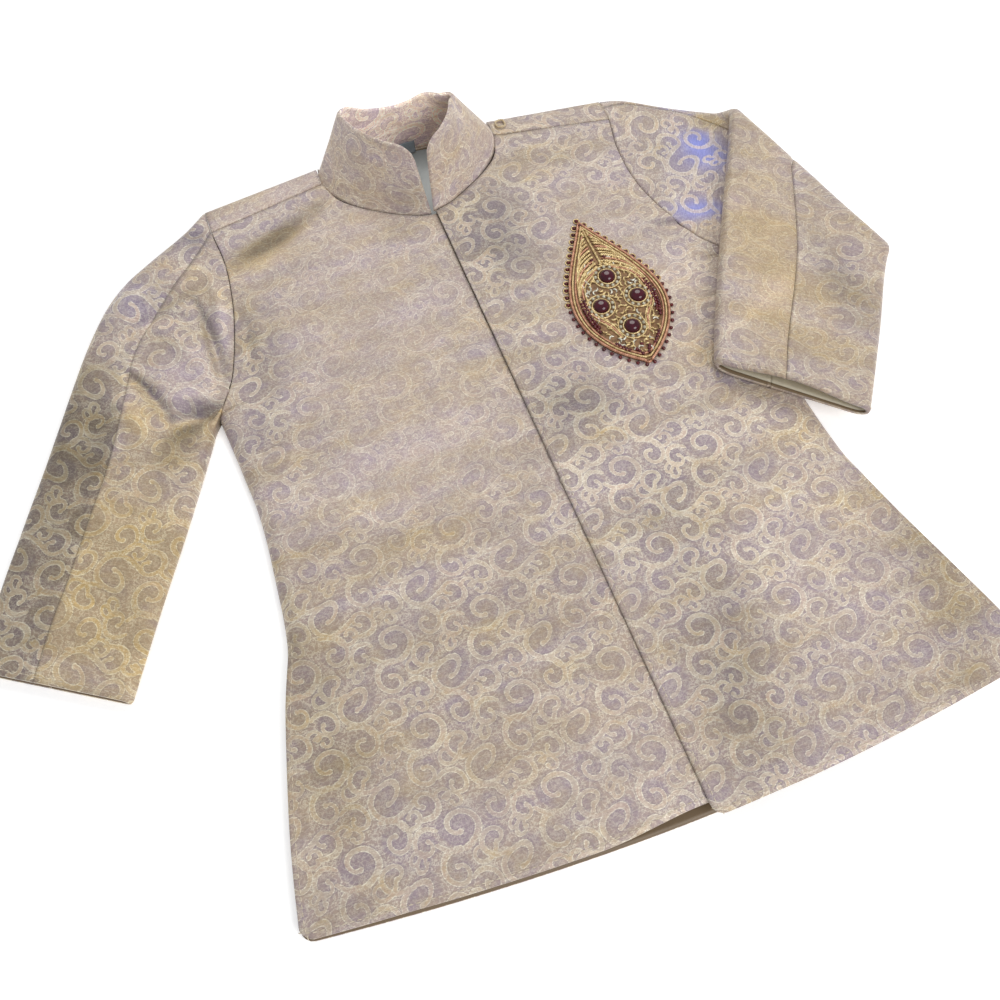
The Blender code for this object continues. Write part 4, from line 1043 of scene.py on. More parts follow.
def make_front(side, upper, creases):
    plan, shares = front_plan(side, upper)
    x, y = in_plan(plan)
    soft = SOFT_DEPTH * rumple(x, y, SOFT_SIZE, seed=1.7)
    soft += CRINKLE_DEPTH * rumple(x / CRINKLE_LENGTH, y, CRINKLE_SIZE, seed=7.7)
    relief = crease_relief(x, y, creases) + soft
    height = lay_of_front(plan, upper, shares, creases)
    height += soft * smooth((height - LOOSE_FROM_Z) / LOOSE_OVER)
    plan = pulled_in(plan, SEAM_GAP / 2)
    hem, top, centre, seam = from_edges(plan)
    plan = corner_rounded(plan, 0, -1, HEM_CORNER)
    if upper:
        plan = corner_rounded(plan, 0, 0, HEM_CORNER)
    level = np.dstack([plan, height])
    away = normals_of(level)
    away *= np.sign(away[:, :, 2:])
    inner = level - away * CLOTH
    for distance, roll in ((hem, EDGE_ROLL), (centre, EDGE_ROLL), (top, SEAM_ROLL), (seam, SEAM_ROLL)):
        height -= edge_drop(distance, roll)
    outer = np.dstack([plan, height])
    # painted sheen and shade follow the slopes of the creases, besides the painted patches
    tint = tone_and_painted_light(*in_plan(plan), FRONT_PATCHES[side], relief)
    tint[:, :, 1] += HEM_LIGHTER * (1 - smooth(hem / STITCH_INSET))
    slit_rows = np.argmin(np.abs(plan[:, -1, 1] - SLIT_TOP_Y))
    stitch_lines.append(line_inside(outer, hem, STITCH_INSET, 0))
    stitch_lines.append(line_inside(outer[:slit_rows, ::-1], seam[:slit_rows, ::-1], STITCH_INSET, 1))
    if upper:
        stitch_lines.append(line_inside(outer, centre, STITCH_INSET, 1))
    made = cloth_shell("front_panel_" + side, outer, inner, plan, tint, [brocade, tan_lining])
    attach(made, "root")
    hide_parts("front_" + side)
    return made


right_front = make_front("right", False, RIGHT_FRONT_CREASES)
left_front = make_front("left", True, LEFT_FRONT_CREASES)

# ---- sleeves ---------------------------------------------------------------------------------
# Each sleeve is a flattened tube of two lengthwise pieces. The wearer's left one is folded over, so
# that its forearm lies on the chest. The paths run along its two folds before it is folded over.
SLEEVE_PATHS = {
    "right outer": (
        (-119.3, 401.0), (-133.0, 391.0), (-155.0, 379.0), (-171.0, 369.0), (-186.0, 354.0),
        (-203.0, 328.0), (-222.0, 293.0), (-243.0, 255.0), (-264.0, 217.0), (-284.5, 178.0),
    ),
    "right inner": ((-145.6, 268.6), (-157.0, 246.0), (-175.0, 214.0), (-197.0, 177.0), (-220.0, 137.0)),
    "left outer": (
        (119.3, 401.0), (133.0, 397.5), (151.0, 386.5), (168.0, 376.5), (186.0, 366.5),
        (217.0, 347.5), (267.0, 318.5), (319.0, 287.5), (346.0, 270.0),
    ),
    "left inner": ((145.8, 268.6), (180.0, 253.5), (233.0, 235.0), (274.0, 215.0), (321.0, 193.0)),
}
# shares of the two paths, how much higher than the front the tube lies, and where its seams cross it
SLEEVE_COLUMNS = ("outer", "inner", "rise", "front_seam", "back_seam")
SLEEVE_ROWS = {
    "right": (
        (0.0, 0.0, 0.0, 0.117, 0.30),
        (0.05, 0.05, 0.1, 0.14, 0.31),
        (0.10, 0.10, 0.1, 0.17, 0.32),
        (0.16, 0.16, 0.1, 0.21, 0.33),
        (0.22, 0.22, 0.1, 0.26, 0.35),
        (0.28, 0.28, 0.1, 0.31, 0.37),
        (0.34, 0.34, 0.0, 0.36, 0.40),
        (0.40, 0.40, -0.2, 0.39, 0.42),
        (0.50, 0.49, -0.5, 0.41, 0.44),
        (0.60, 0.58, -0.8, 0.41, 0.46),
        (0.70, 0.68, -1.1, 0.405, 0.475),
        (0.80, 0.79, -1.4, 0.40, 0.485),
        (0.90, 0.90, -1.7, 0.39, 0.49),
        (1.0, 1.0, -2.0, 0.39, 0.49),
    ),
    "left": (
        (0.0, 0.0, 0.0, 0.045, 0.30),
        (0.05, 0.07, -0.1, 0.035, 0.31),
        (0.11, 0.16, -0.2, 0.03, 0.33),
        (0.17, 0.26, -0.3, 0.04, 0.35),
        (0.225, 0.345, -0.4, 0.11, 0.365),
        (0.265, 0.40, -0.4, 0.185, 0.38),
        (0.31, 0.46, -0.4, 0.235, 0.395),
        (0.35, 0.51, -0.4, 0.265, 0.41),
        (0.40, 0.56, -0.4, 0.29, 0.43),
        (0.48, 0.62, -0.3, 0.32, 0.455),
        (0.58, 0.70, -0.2, 0.34, 0.475),
        (0.69, 0.78, -0.1, 0.355, 0.475),
        (0.80, 0.86, 0.0, 0.365, 0.465),
        (0.90, 0.93, 0.1, 0.37, 0.455),
        (1.0, 1.0, 0.1, 0.37, 0.445),
    ),
}
SLEEVE_FOLD = {"start": (179.5, 363.0), "end": (213.0, 239.5)}
FOLDED_HEIGHT, FOLDED_CLEARANCE = LAY_HEIGHT - 0.4, 1.2
FOLD_MIDDLE_Z = (LAY_HEIGHT + FOLDED_CLEARANCE + FOLDED_HEIGHT) / 2
SLEEVE_START, ARMHOLE_FADE, ARMPIT_FADE, SETTLE_SHARE = 0.25, 0.35, 0.06, 0.18
FOLD_HEIGHT_SHARE = 0.45
UPPER_ROUND = {"outer": 12.0, "inner": 9.0}
LOWER_ROUND = 5.0
SLEEVE_LENGTHWISE = 130  # rows from the armhole to the cuff
TOWARDS_FOLD, OUTER_UNDER, INNER_TOP, INNER_UNDER = 34, 24, 56, 50  # columns of each stretch of a strip
FOLD_SPREAD, UNDER_SPREAD, INNER_SPREAD = 0.8, 1.2, 1.35  # powers that space the columns
MOUTH_LIFT = 5.2  # how far the upper layer is lifted at the middle of the folded sleeve's cuff
MOUTH_START, MOUTH_RUN = 0.84, 0.16  # shares of the sleeve's length


def armhole_of_sleeve(side):
    """The whole armhole of one side in plan, from the shoulder fold down to the armpit."""
    sign = -1.0 if side == "right" else 1.0
    x_tip, y_tip = SHOULDER_FOLD["tip"]
    return np.vstack([[(sign * x_tip, y_tip)], outer_edge(side)[1][::-1]])


def fold_over(points):
    """Turns what lies past the sleeve's fold line up and back over the rest."""
    start, end = np.array(SLEEVE_FOLD["start"]), np.array(SLEEVE_FOLD["end"])
    line = (end - start) / np.linalg.norm(end - start)
    outward = np.array([-line[1], line[0]])
    past = (points[..., :2] - start) @ outward
    middle = FOLD_MIDDLE_Z - FOLDED_HEIGHT / 2
    angle = np.clip(past / middle, 0.0, math.pi)
    radius = FOLD_MIDDLE_Z - points[..., 2]
    reach = radius * np.sin(angle) - np.clip(past - math.pi * middle, 0.0, None)
    turned = points.copy()
    turned[..., :2] += (reach - past)[..., None] * outward
    turned[..., 2] = FOLD_MIDDLE_Z - radius * np.cos(angle)
    return np.where((past > 0)[..., None], turned, points)


class Sleeve:
    """Plan paths and cross-sections of one sleeve."""

    def __init__(self, side):
        self.side = side
        self.rows = along_rows(np.array(SLEEVE_ROWS[side]), SLEEVE_LENGTHWISE)
        self.outer = along(rounded_path(SLEEVE_PATHS[side + " outer"]), self.column("outer")[:, 0])
        self.inner = along(rounded_path(SLEEVE_PATHS[side + " inner"]), self.column("inner")[:, 0])
        self.armhole = armhole_of_sleeve(side)
        self.width = np.linalg.norm(self.outer - self.inner, axis=1)[:, None]

    def column(self, name):
        return self.rows[:, SLEEVE_COLUMNS.index(name)][:, None]

    def plan(self, shares):
        """Plan points for shares across each row, 0 at the outer fold and 1 at the inner one."""
        across = shares[..., None]
        straight = (1 - across) * self.outer[:, None] + across * self.inner[:, None]
        from_start = (1 - across) * self.outer[0] + across * self.inner[0]
        curve = along(self.armhole, shares.ravel()).reshape(*shares.shape, 2)
        reach = ARMHOLE_FADE * np.clip(1 - shares, 0.0, 1.0) ** 0.7 + ARMPIT_FADE
        fade = 1 - smooth(self.column("outer") / reach)
        points = straight + fade[..., None] * (curve - from_start)
        run = along(self.armhole, np.clip(shares[0] + 0.01, 0.0, 1.0))
        run = run - along(self.armhole, np.clip(shares[0] - 0.01, 0.0, 1.0))
        away = np.stack([-run[:, 1], run[:, 0]], axis=1)
        away *= np.sign(away[:, :1]) * np.sign(self.armhole[0, 0])
        away /= np.linalg.norm(away, axis=1, keepdims=True)
        leave = SLEEVE_START * np.clip(1 - self.column("outer") / 0.02, 0.0, 1.0)
        return points + leave[..., None] * away[None]

    def layer(self, from_fold, to_fold, depth, upper):
        """Heights of the upper or lower layer, at a depth inside the tube's outer face."""
        settle = smooth(self.column("outer") / SETTLE_SHARE)
        height = LAY_HEIGHT + self.column("rise")
        settled_fold = FOLD_HEIGHT_SHARE * height
        level = height - depth if upper else depth + 0 * height
        folds = (
            (from_fold, SHOULDER_FOLD_RADIUS, SHOULDER_FOLD_RADIUS, SHOULDER_FOLD_RADIUS, "outer"),
            (to_fold, SIDE_SEAM_Z, ARMPIT_ROUND, SIDE_SEAM_Z, "inner"),
        )
        for distance, start_z, upper_start, lower_start, name in folds:
            fold_z = start_z * (1 - settle) + settled_fold * settle
            start_round = upper_start if upper else lower_start
            settled_round = UPPER_ROUND[name] if upper else LOWER_ROUND
            turn = np.maximum(start_round * (1 - settle) + settled_round * settle - depth, 0.4)
            top = height - depth if upper else depth
            level = level - (top - fold_z) * (1 - quarter_round(distance / turn))
        return level

    def strip(self, front, back, depth):
        """Points of a lengthwise strip, at a depth inside the tube's outer face, before any fold.

        front and back are the shares of each row at which it starts on the upper layer and ends on the
        lower one. It passes round the outer fold if they grow from it, and else round the inner one.
        """
        shares = np.concatenate([front, back], axis=1)
        room = self.width - 2 * depth
        from_fold, to_fold = shares * room, (1 - shares) * room
        split = front.shape[1]
        height = np.concatenate(
            [
                self.layer(from_fold[:, :split], to_fold[:, :split], depth, True),
                self.layer(from_fold[:, split:], to_fold[:, split:], depth, False),
            ],
            axis=1,
        )
        if self.side == "left":
            to_cuff = smooth((self.column("outer") - MOUTH_START) / MOUTH_RUN)
            height[:, split:] -= MOUTH_LIFT * to_cuff * np.sin(math.pi * shares[:, split:]) ** 2
        return np.dstack([self.plan((depth + from_fold) / self.width), height])

    def grain(self, points, name, split):
        """Each point's place on the straight grain of the cloth, which runs on round the fold."""
        middle = (self.outer + self.inner) / 2
        run = (middle[-1] - middle[0]) / np.linalg.norm(middle[-1] - middle[0])
        beside = np.array([-run[1], run[0]])
        from_start = points[:, :, :2] - middle[0]
        across, down = from_start @ beside, from_start @ run
        fold = (self.outer if name == "outer" else self.inner) - middle[0]
        across[:, split:] = 2 * (fold @ beside)[:, None] - across[:, split:]
        return np.dstack([across, down])

    def pieces(self):
        """The shares of the outer and the inner lengthwise piece, on the upper and the lower layer."""
        gap = SEAM_GAP / 2 / self.width
        front_seam, back_seam = self.column("front_seam"), self.column("back_seam")
        close = 1 - np.linspace(0.0, 1.0, TOWARDS_FOLD) ** FOLD_SPREAD
        under = np.linspace(0.01, 1.0, OUTER_UNDER) ** UNDER_SPREAD
        yield "outer", (front_seam - gap) * close, (back_seam - gap) * under
        top = 1 - (1 - np.linspace(0.0, 0.999, INNER_TOP)) ** INNER_SPREAD
        beneath = 1 - np.linspace(0.002, 1.0, INNER_UNDER) ** INNER_SPREAD
        inner_front = front_seam + gap + (1 - front_seam - gap) * top
        inner_back = back_seam + gap + (1 - back_seam - gap) * beneath
        yield "inner", inner_front, inner_back


def along_rows(table, count):
    """The rows of a table, drawn out smoothly to a larger number of rows."""
    fine = rounded_path(table, 12 * len(table))
    wanted, given = np.linspace(0, 1, count), np.linspace(0, 1, len(fine))
    return np.stack([np.interp(wanted, given, column) for column in fine.T], axis=1)


def arc_lengths(grid, axis):
    """How far along its column (axis 0) or its row (axis 1) each point of a grid lies."""
    steps = np.linalg.norm(np.diff(grid, axis=axis), axis=2)
    run = np.cumsum(steps, axis=axis)
    start = np.zeros_like(run[:1] if axis == 0 else run[:, :1])
    return np.concatenate([start, run], axis=axis)


SLEEVE_CREASES = {
    "right": (
        ((-139, 340), (-138, 284), 2, -2.6, 3),
        ((-183, 309), (-168, 272), 2, -2.6, 3),
        ((-168, 273), (-138, 264), 2, -3.4, 4.2),
        ((-166, 284), (-142, 275), 2, 1.4, 4),
        ((-150, 352), (-184, 330), 3, -1.8, 4),
        ((-146, 362), (-172, 352), 2, 1.2, 3.5),
        ((-142, 330), (-170, 338), -2, -1.2, 3),
        ((-128, 352), (-134, 300), 2, 1.3, 4),
        ((-160, 330), (-146, 286), 3, 1.2, 6),
        ((-176, 262), (-206, 222), 4, -1, 7),
        ((-196, 300), (-182, 262), 3, 1, 6),
        ((-214, 246), (-196, 190), -4, 0.7, 8),
        ((-240, 210), (-216, 166), 4, -0.7, 8),
        ((-172, 352), (-196, 318), 2, 0.9, 6),
    ),
    "left": (
        ((140, 372), (166, 330), 4, -1.2, 7),
        ((150, 322), (176, 268), -4, -1.4, 7),
        ((134, 330), (160, 282), 3, 0.9, 7),
        ((196, 350), (210, 300), 3, 0.6, 8),
        ((176, 300), (204, 262), -3, -0.7, 8),
    ),
}
# soft patches of tone and of painted light: shade in crease troughs, shadow under a facet, highlights and
# violet sheen
SLEEVE_PATCHES = {
    "right outer": (
        ((-246, 220), (56, 90), 0, 0.25, -0.34, 1, 0),
        ((-210, 284), (26, 40), 0, 0.3, -0.42, 0.6, 0),
        ((-172, 356), (26, 14), -35, -0.35, 0.05, 0.2, 0.12),
        # painted shade on the tip of the shoulder
        ((-129, 383), (8, 7), 0, -0.7, -0.36, 0.2, 0.1),
        ((-150, 372), (12, 5), -30, 0.5, 0.05, 0, 0),
    ),
    "right inner": (
        ((-206, 190), (60, 70), 50, 1, -0.06, 0.25, 0),
        # painted highlight on the lit facet of the sleeve
        ((-155, 295), (14, 20), -10, -0.5, 0.26, -0.25, 0.03),
        # painted shade in a crease trough
        ((-176, 291), (20, 3), -70, 0.5, -0.55, 0, 0),
        ((-184, 281), (6, 11), 0, 0.8, 0.1, 0, 0),
        # painted shade in a crease trough
        ((-139, 312), (27, 2.4), 89, 0.1, -0.55, 0, 0),
        ((-158, 320), (16, 12), 0, 0.25, -0.1, 0.2, 0),
        # painted highlight on a pale strip beside the armhole
        ((-130, 318), (22, 4), 76, -0.15, 0.2, -0.1, 0.05),
        # painted shadow under the edge of the facet
        ((-153, 267), (16, 4.5), 16, 0.7, -0.7, 0, 0),
        ((-166, 256), (14, 9), 0, 0.5, -0.25, 0.1, 0),
        ((-136, 360), (10, 12), 0, 0.4, 0.1, 0.1, 0),
        # painted shade on the tip of the shoulder
        ((-129, 383), (8, 7), 0, -0.7, -0.36, 0.2, 0.1),
        ((-150, 344), (18, 3.5), 20, 0.2, -0.2, 0.1, 0),
    ),
    "left outer": (
        ((200, 280), (60, 80), 30, 0.2, -0.02, -0.15, 0),
        ((150, 226), (26, 74), -14, 0.6, 0, -0.36, 0),
        ((135, 226), (30, 6), 22, 0.1, 0.2, 0, 0),
        ((184, 226), (13, 34), 0, 0, -0.25, 0.2, 0),
        # painted violet sheen on the upper arm, on this line and the next two
        ((153, 375), (14, 6), -10, -0.2, 0.05, 0.1, 0.7),
        ((149, 367), (20, 9), -24, -0.2, 0.05, 0.2, 0.85),
        ((162, 338), (15, 11), -40, -0.2, 0.02, 0.2, 0.75),
        ((172, 361), (10, 6), -24, 0.8, -0.25, 0, -0.8),
    ),
    "left inner": (
        ((160, 232), (50, 58), -20, 0.3, 0, -0.2, 0),
        # painted violet sheen on the upper arm, on this line and the next
        ((162, 338), (15, 11), -40, -0.2, 0.02, 0.2, 0.75),
        ((139, 303), (16, 7), -15, -0.2, 0.05, 0.2, 0.85),
        ((146, 340), (20, 26), 0, -0.3, 0.04, 0.25, 0.1),
        ((184, 226), (13, 30), 0, -0.1, -0.3, 0.15, 0),
        # painted violet sheen on the upper arm
        ((161, 352), (9, 8), 0, -0.2, 0.05, 0.1, 0.7),
        ((139, 352), (14, 14), 0, 0, -0.12, 0, 0),
        ((172, 361), (7, 5), 0, 0.7, -0.25, 0, -0.8),
        ((150, 262), (9, 40), 14, 0.1, 0.12, -0.1, 0),
    ),
}
SHEEN_TOP_Z, SHEEN_FADE = 15.0, 4.0  # the forearm lies higher, clear of the painted violet sheen on the upper arm
SLEEVE_SOFT_DEPTH, SLEEVE_SOFT_SIZE = 0.3, 26.0


def make_sleeve(side):
    sleeve = Sleeve(side)
    for name, front, back in sleeve.pieces():
        flat = [sleeve.strip(front, back, depth) for depth in (0.0, CLOTH)]
        outer, inner = (fold_over(face) if side == "left" else face for face in flat)
        up = normals_of(outer)
        up *= np.sign(((outer - inner) * up).sum(axis=2, keepdims=True))

        # creases show only where the cloth looks up, and not where it turns round a fold
        level = smooth(2.5 * np.abs(normals_of(flat[0])[:, :, 2]) - 0.6)
        looks_up = smooth(2.0 * up[:, :, 2] - 0.3)
        relief = crease_relief(*in_plan(outer), SLEEVE_CREASES[side])
        relief += SLEEVE_SOFT_DEPTH * rumple(*in_plan(outer), SLEEVE_SOFT_SIZE, seed=2.3)
        moved = (relief * looks_up * level)[:, :, None] * up
        around, down = arc_lengths(outer, 1), arc_lengths(outer, 0)
        seam = np.minimum(around, around[:, -1:] - around)
        cuff = down[-1:] - down
        for distance, roll in ((seam, SEAM_ROLL), (cuff, EDGE_ROLL), (down, SEAM_ROLL)):
            moved = moved - edge_drop(distance, roll)[:, :, None] * up
        # painted sheen and shade follow the slopes of the creases, besides the painted patches
        tint = tone_and_painted_light(*in_plan(outer), SLEEVE_PATCHES[side + " " + name], relief * looks_up)
        tint[:, :, 3] *= 1 - smooth((outer[:, :, 2] - SHEEN_TOP_Z) / SHEEN_FADE)
        stitch_lines.append(line_inside((outer + moved)[::-1], cuff[::-1], STITCH_INSET, 0))
        piece = cloth_shell(
            "sleeve_piece_%s_%s" % (side, name),
            outer + moved,
            inner + moved,
            sleeve.grain(flat[0], name, front.shape[1]),
            tint,
            [sleeve_brocade, tan_lining],
        )
        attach(piece, "root")
        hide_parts("sleeve_%s_%s" % (side, name))


make_sleeve("right")
make_sleeve("left")

# ---- cuff lining -----------------------------------------------------------------------------
# Cream satin inside the open mouth of the folded sleeve. It is cut in two like the sleeve, and its
# edges are felled to the brocade.
CUFF_LINING_ROWS = 26
LINING = 0.5
CUFF_LINING_CLEARANCE = CLOTH + 0.25  # how deep it lies inside the sleeve's outer face


def make_cuff_lining():
    sleeve = Sleeve("left")
    for name, front, back in sleeve.pieces():
        faces = [
            fold_over(sleeve.strip(front, back, CUFF_LINING_CLEARANCE + depth))[-CUFF_LINING_ROWS:-1]
            for depth in (0.0, LINING)
        ]
        weave = np.dstack([arc_lengths(faces[0], 1), arc_lengths(faces[0], 0)])
        tint = tone_and_painted_light(*in_plan(faces[0]), ())
        piece = cloth_shell("cuff_satin_" + name, *faces, weave, tint, [cream_satin])
        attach(piece, "root")
        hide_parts("cuff_lining_" + name)


make_cuff_lining()

# ---- collar ----------------------------------------------------------------------------------
# A standing band of stiffened brocade on both faces, sewn into the neckline and open at the front,
# where its ends are rounded.
COLLAR_TABLE = (
    # foot x, y, z and top x, y, z of its outer face, from the front end to the centre back
    (1.0, 354.6, LAY_HEIGHT, 5.0, 373.5, 43.0),
    (13.8, 358.5, LAY_HEIGHT, 14.0, 378.5, 43.0),
    (27.6, 366.3, LAY_HEIGHT, 22.0, 387.5, 42.0),
    (37.5, 373.9, LAY_HEIGHT, 26.0, 395.0, 40.5),
    (45.6, 382.9, LAY_HEIGHT, 29.5, 403.5, 38.5),
    (50.8, 392.4, LAY_HEIGHT, 32.0, 411.5, 36.0),
    (53.8, 402.6, 5.6, 31.5, 418.0, 34.0),
    (45.2, 407.0, 4.4, 26.0, 420.5, 33.0),
    (33.0, 408.2, 3.4, 18.0, 419.5, 32.5),
    (16.0, 409.3, 3.2, 8.0, 417.5, 32.0),
    (0.0, 409.5, 3.2, 0.0, 417.0, 31.5),
)
COLLAR_TUCK = 0.9
COLLAR_FOOT = 1.3  # how far it runs down behind the edge of the fronts
COLLAR_SIDE_SHIFT = {"right": 3.0, "left": -5.0}  # the collar leans a little to one side
COLLAR_SIDE_STATIONS = (5, 7)
COLLAR_ACROSS, COLLAR_ROWS = 120, 30
COLLAR_CORNER, COLLAR_CLOTH = 9.0, 2.4
COLLAR_FRONT_Z, COLLAR_FRONT_FADE = 6.0, 3.0  # its foot stands above this height on the fronts
COLLAR_WAVE, COLLAR_WAVE_SIZE = 0.35, 16.0
COLLAR_PINCH, COLLAR_ROLL = 0.42 * COLLAR_CLOTH, 0.5 * COLLAR_CLOTH
COLLAR_PATCHES = (
    # centre, half sizes, turn, then gold, lightness, contrast and violet
    ((0.0, 18.0), (150.0, 40.0), 0.0, 0.1, 0.2, -0.2, 0.0),
    ((-84.0, 12.0), (12.0, 16.0), 0.0, -0.2, -0.2, 0.1, 0.0),
)
# painted light: the inner face of the collar lies in the shade of its front and is painted much lighter
COLLAR_INSIDE_PAINTED_LIGHT = (((0.0, 18.0), (150.0, 60.0), 0.0, -0.1, 1.6, 0.0, 0.0),)


def collar_path(side):
    """Foot and top of half the collar, from its front end to the centre back."""
    table = np.array(COLLAR_TABLE)
    table[:, [0, 3]] *= -1.0 if side == "right" else 1.0
    tucked = table[:, 2] == LAY_HEIGHT
    table[tucked, 2] += overlap_rise(table[tucked, 0], side == "left") - COLLAR_TUCK
    first, last = COLLAR_SIDE_STATIONS
    table[first : last + 1, 4] += COLLAR_SIDE_SHIFT[side]
    return rounded_path(table[:, :3], COLLAR_ACROSS), rounded_path(table[:, 3:], COLLAR_ACROSS)


def make_collar():
    halves = [collar_path(side) for side in ("right", "left")]
    foot, top = (np.vstack([halves[0][part], halves[1][part][-2::-1]]) for part in (0, 1))
    run = run_along(top)
    from_end = np.minimum(run, run[-1] - run)
    downward = (foot - top) / np.linalg.norm(foot - top, axis=1, keepdims=True)
    at_front = smooth((foot[:, 2] - COLLAR_FRONT_Z) / COLLAR_FRONT_FADE)[:, None]
    foot = foot + COLLAR_FOOT * at_front * downward
    height = np.linalg.norm(top - foot, axis=1)
    reach = 1 - COLLAR_CORNER / height * (1 - quarter_round(from_end / COLLAR_CORNER))
    shares = 1 - (1 - np.linspace(0.0, 1.0, COLLAR_ROWS)) ** 1.3
    rise = shares[:, None, None] * reach[None, :, None]
    outer = foot[None] + (top - foot)[None] * rise
    inward = normals_of(outer)
    middle = outer.mean(axis=(0, 1))
    inward *= np.sign(((middle - outer) * inward).sum(axis=2, keepdims=True).mean())
    weave = np.dstack([np.tile(run - run[-1] / 2, (COLLAR_ROWS, 1)), height[None] * rise[:, :, 0]])
    wave = COLLAR_WAVE * rumple(*in_plan(weave), COLLAR_WAVE_SIZE, seed=4.4) * smooth(2 * shares)[:, None]
    outer = outer + inward * wave[:, :, None]
    inner = outer + inward * COLLAR_CLOTH
    to_top = (1 - shares)[:, None] * (height * reach)[None]
    to_edge = np.minimum(to_top, from_end[None])
    pinch = COLLAR_PINCH * (1 - quarter_round(to_edge / COLLAR_ROLL))[:, :, None]
    outer, inner = outer + inward * pinch, inner - inward * pinch
    tint = tone_and_painted_light(*in_plan(weave), COLLAR_PATCHES)
    # the inner face gets painted light
    inside = tone_and_painted_light(*in_plan(weave), COLLAR_INSIDE_PAINTED_LIGHT)
    made = cloth_shell("collar_band", outer, inner, weave, tint, [collar_brocade], inside)
    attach(made, "root")
    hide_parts("collar")


make_collar()

# ---- neck lining and label -------------------------------------------------------------------
# Grey-green satin inside the neck, sewn down along the neckline, and a blank woven tape label. The
# label is folded at its foot and sewn in at the centre back.
NECK_LINING_TABLE = (
    # y and half width
    (338.0, 26.0),
    (352.0, 31.0),
    (366.0, 36.0),
    (378.0, 39.0),
    (388.0, 40.5),
    (396.0, 39.0),
    (401.0, 33.0),
    (404.0, 22.0),
    (405.4, 8.0),
)
NECK_LINING_Z, NECK_LINING_ROWS, NECK_LINING_ACROSS = 3.65, 50, 48
NECK_LINING_DEPTH, NECK_LINING_SIZE = 0.4, 11.0  # its slow unevenness
LABEL_X, LABEL_Y, LABEL_FOOT_Z = (-3.2, 6.8), 404.9, 4.7
LABEL_HEIGHT, LABEL_LEAN, LABEL_CLOTH, LABEL_LEAF_GAP = 6.4, 0.27, 0.3, 0.4
LABEL_BACK_HEIGHT, LABEL_TUCK, LABEL_TUCK_OVER, LABEL_WAVE = 5.8, 0.5, 2.0, 0.15
LABEL_BACK_ROWS, LABEL_FRONT_ROWS, LABEL_ACROSS = 16, 18, 20

spans = along_rows(np.array(NECK_LINING_TABLE), NECK_LINING_ROWS)
shares = np.linspace(-1.0, 1.0, NECK_LINING_ACROSS)
lining_plan = np.dstack([spans[:, 1:] * shares, spans[:, :1] + 0 * shares])
uneven = NECK_LINING_DEPTH * rumple(*in_plan(lining_plan), NECK_LINING_SIZE, seed=6.1)
outer = np.dstack([lining_plan, NECK_LINING_Z + uneven])
neck_lining = cloth_shell(
    "neck_satin",
    outer,
    outer - (0.0, 0.0, LINING),
    lining_plan,
    tone_and_painted_light(*in_plan(lining_plan), ()),
    [grey_satin],
)
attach(neck_lining, "root")
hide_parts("neck_lining")

label_tape, label_tree, label_shader = add_material("label_tape")
label_place = label_tree.nodes.new("ShaderNodeTexCoord").outputs["Object"]
label_weave = noise_of(label_tree, label_place, 2400.0, 2.0, 0.6)
label_colour = blend_colours(label_tree, label_weave, (0.20, 0.26, 0.31, 1.0), (0.36, 0.43, 0.49, 1.0))
set_sockets(label_shader, Base_Color=label_colour, Roughness=0.6)

# the tape is folded at its lower edge, so that one leaf stands behind the other
back_rise = np.linspace(LABEL_BACK_HEIGHT, 0.0, LABEL_BACK_ROWS)
rise = np.concatenate([back_rise, np.linspace(0.0, LABEL_HEIGHT, LABEL_FRONT_ROWS)])
leaf = np.concatenate([np.ones(LABEL_BACK_ROWS), np.zeros(LABEL_FRONT_ROWS)])
fold_rows = slice(LABEL_BACK_ROWS - 1, LABEL_BACK_ROWS + 2)
leaf[fold_rows] = (0.8, 0.25, 0.0)
rise[fold_rows] = (0.02, 0.0, 0.1)
behind = LABEL_LEAN * rise + LABEL_LEAF_GAP * leaf - LABEL_TUCK * (1 - smooth(rise / LABEL_TUCK_OVER))
label_x, label_y = np.meshgrid(np.linspace(*LABEL_X, LABEL_ACROSS), LABEL_Y + behind)
label_z = (LABEL_FOOT_Z + rise)[:, None] + 0 * label_x
label_path = np.dstack([label_x, label_y + LABEL_WAVE * np.sin(label_x), label_z])
away = normals_of(label_path)
label = cloth_shell(
    "neck_label_tape",
    label_path + away * LABEL_CLOTH / 2,
    label_path - away * LABEL_CLOTH / 2,
    label_path[:, :, [0, 2]],
    tone_and_painted_light(label_x, label_path[:, :, 2], ()),
    [label_tape],
)
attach(label, "root")
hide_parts("neck_label")

# ---- shoulder loop ---------------------------------------------------------------------------
# A small round-cornered loop of gold cord, twisted from two plies. It is sewn to the shoulder beside
# the collar.
LOOP_CENTRE, LOOP_HALF, LOOP_CORD, LOOP_Z = (58.0, 402.0), 2.6, 1.3, 10.45
LOOP_TURNS, LOOP_POINTS, LOOP_PLY = 9, 160, 0.36


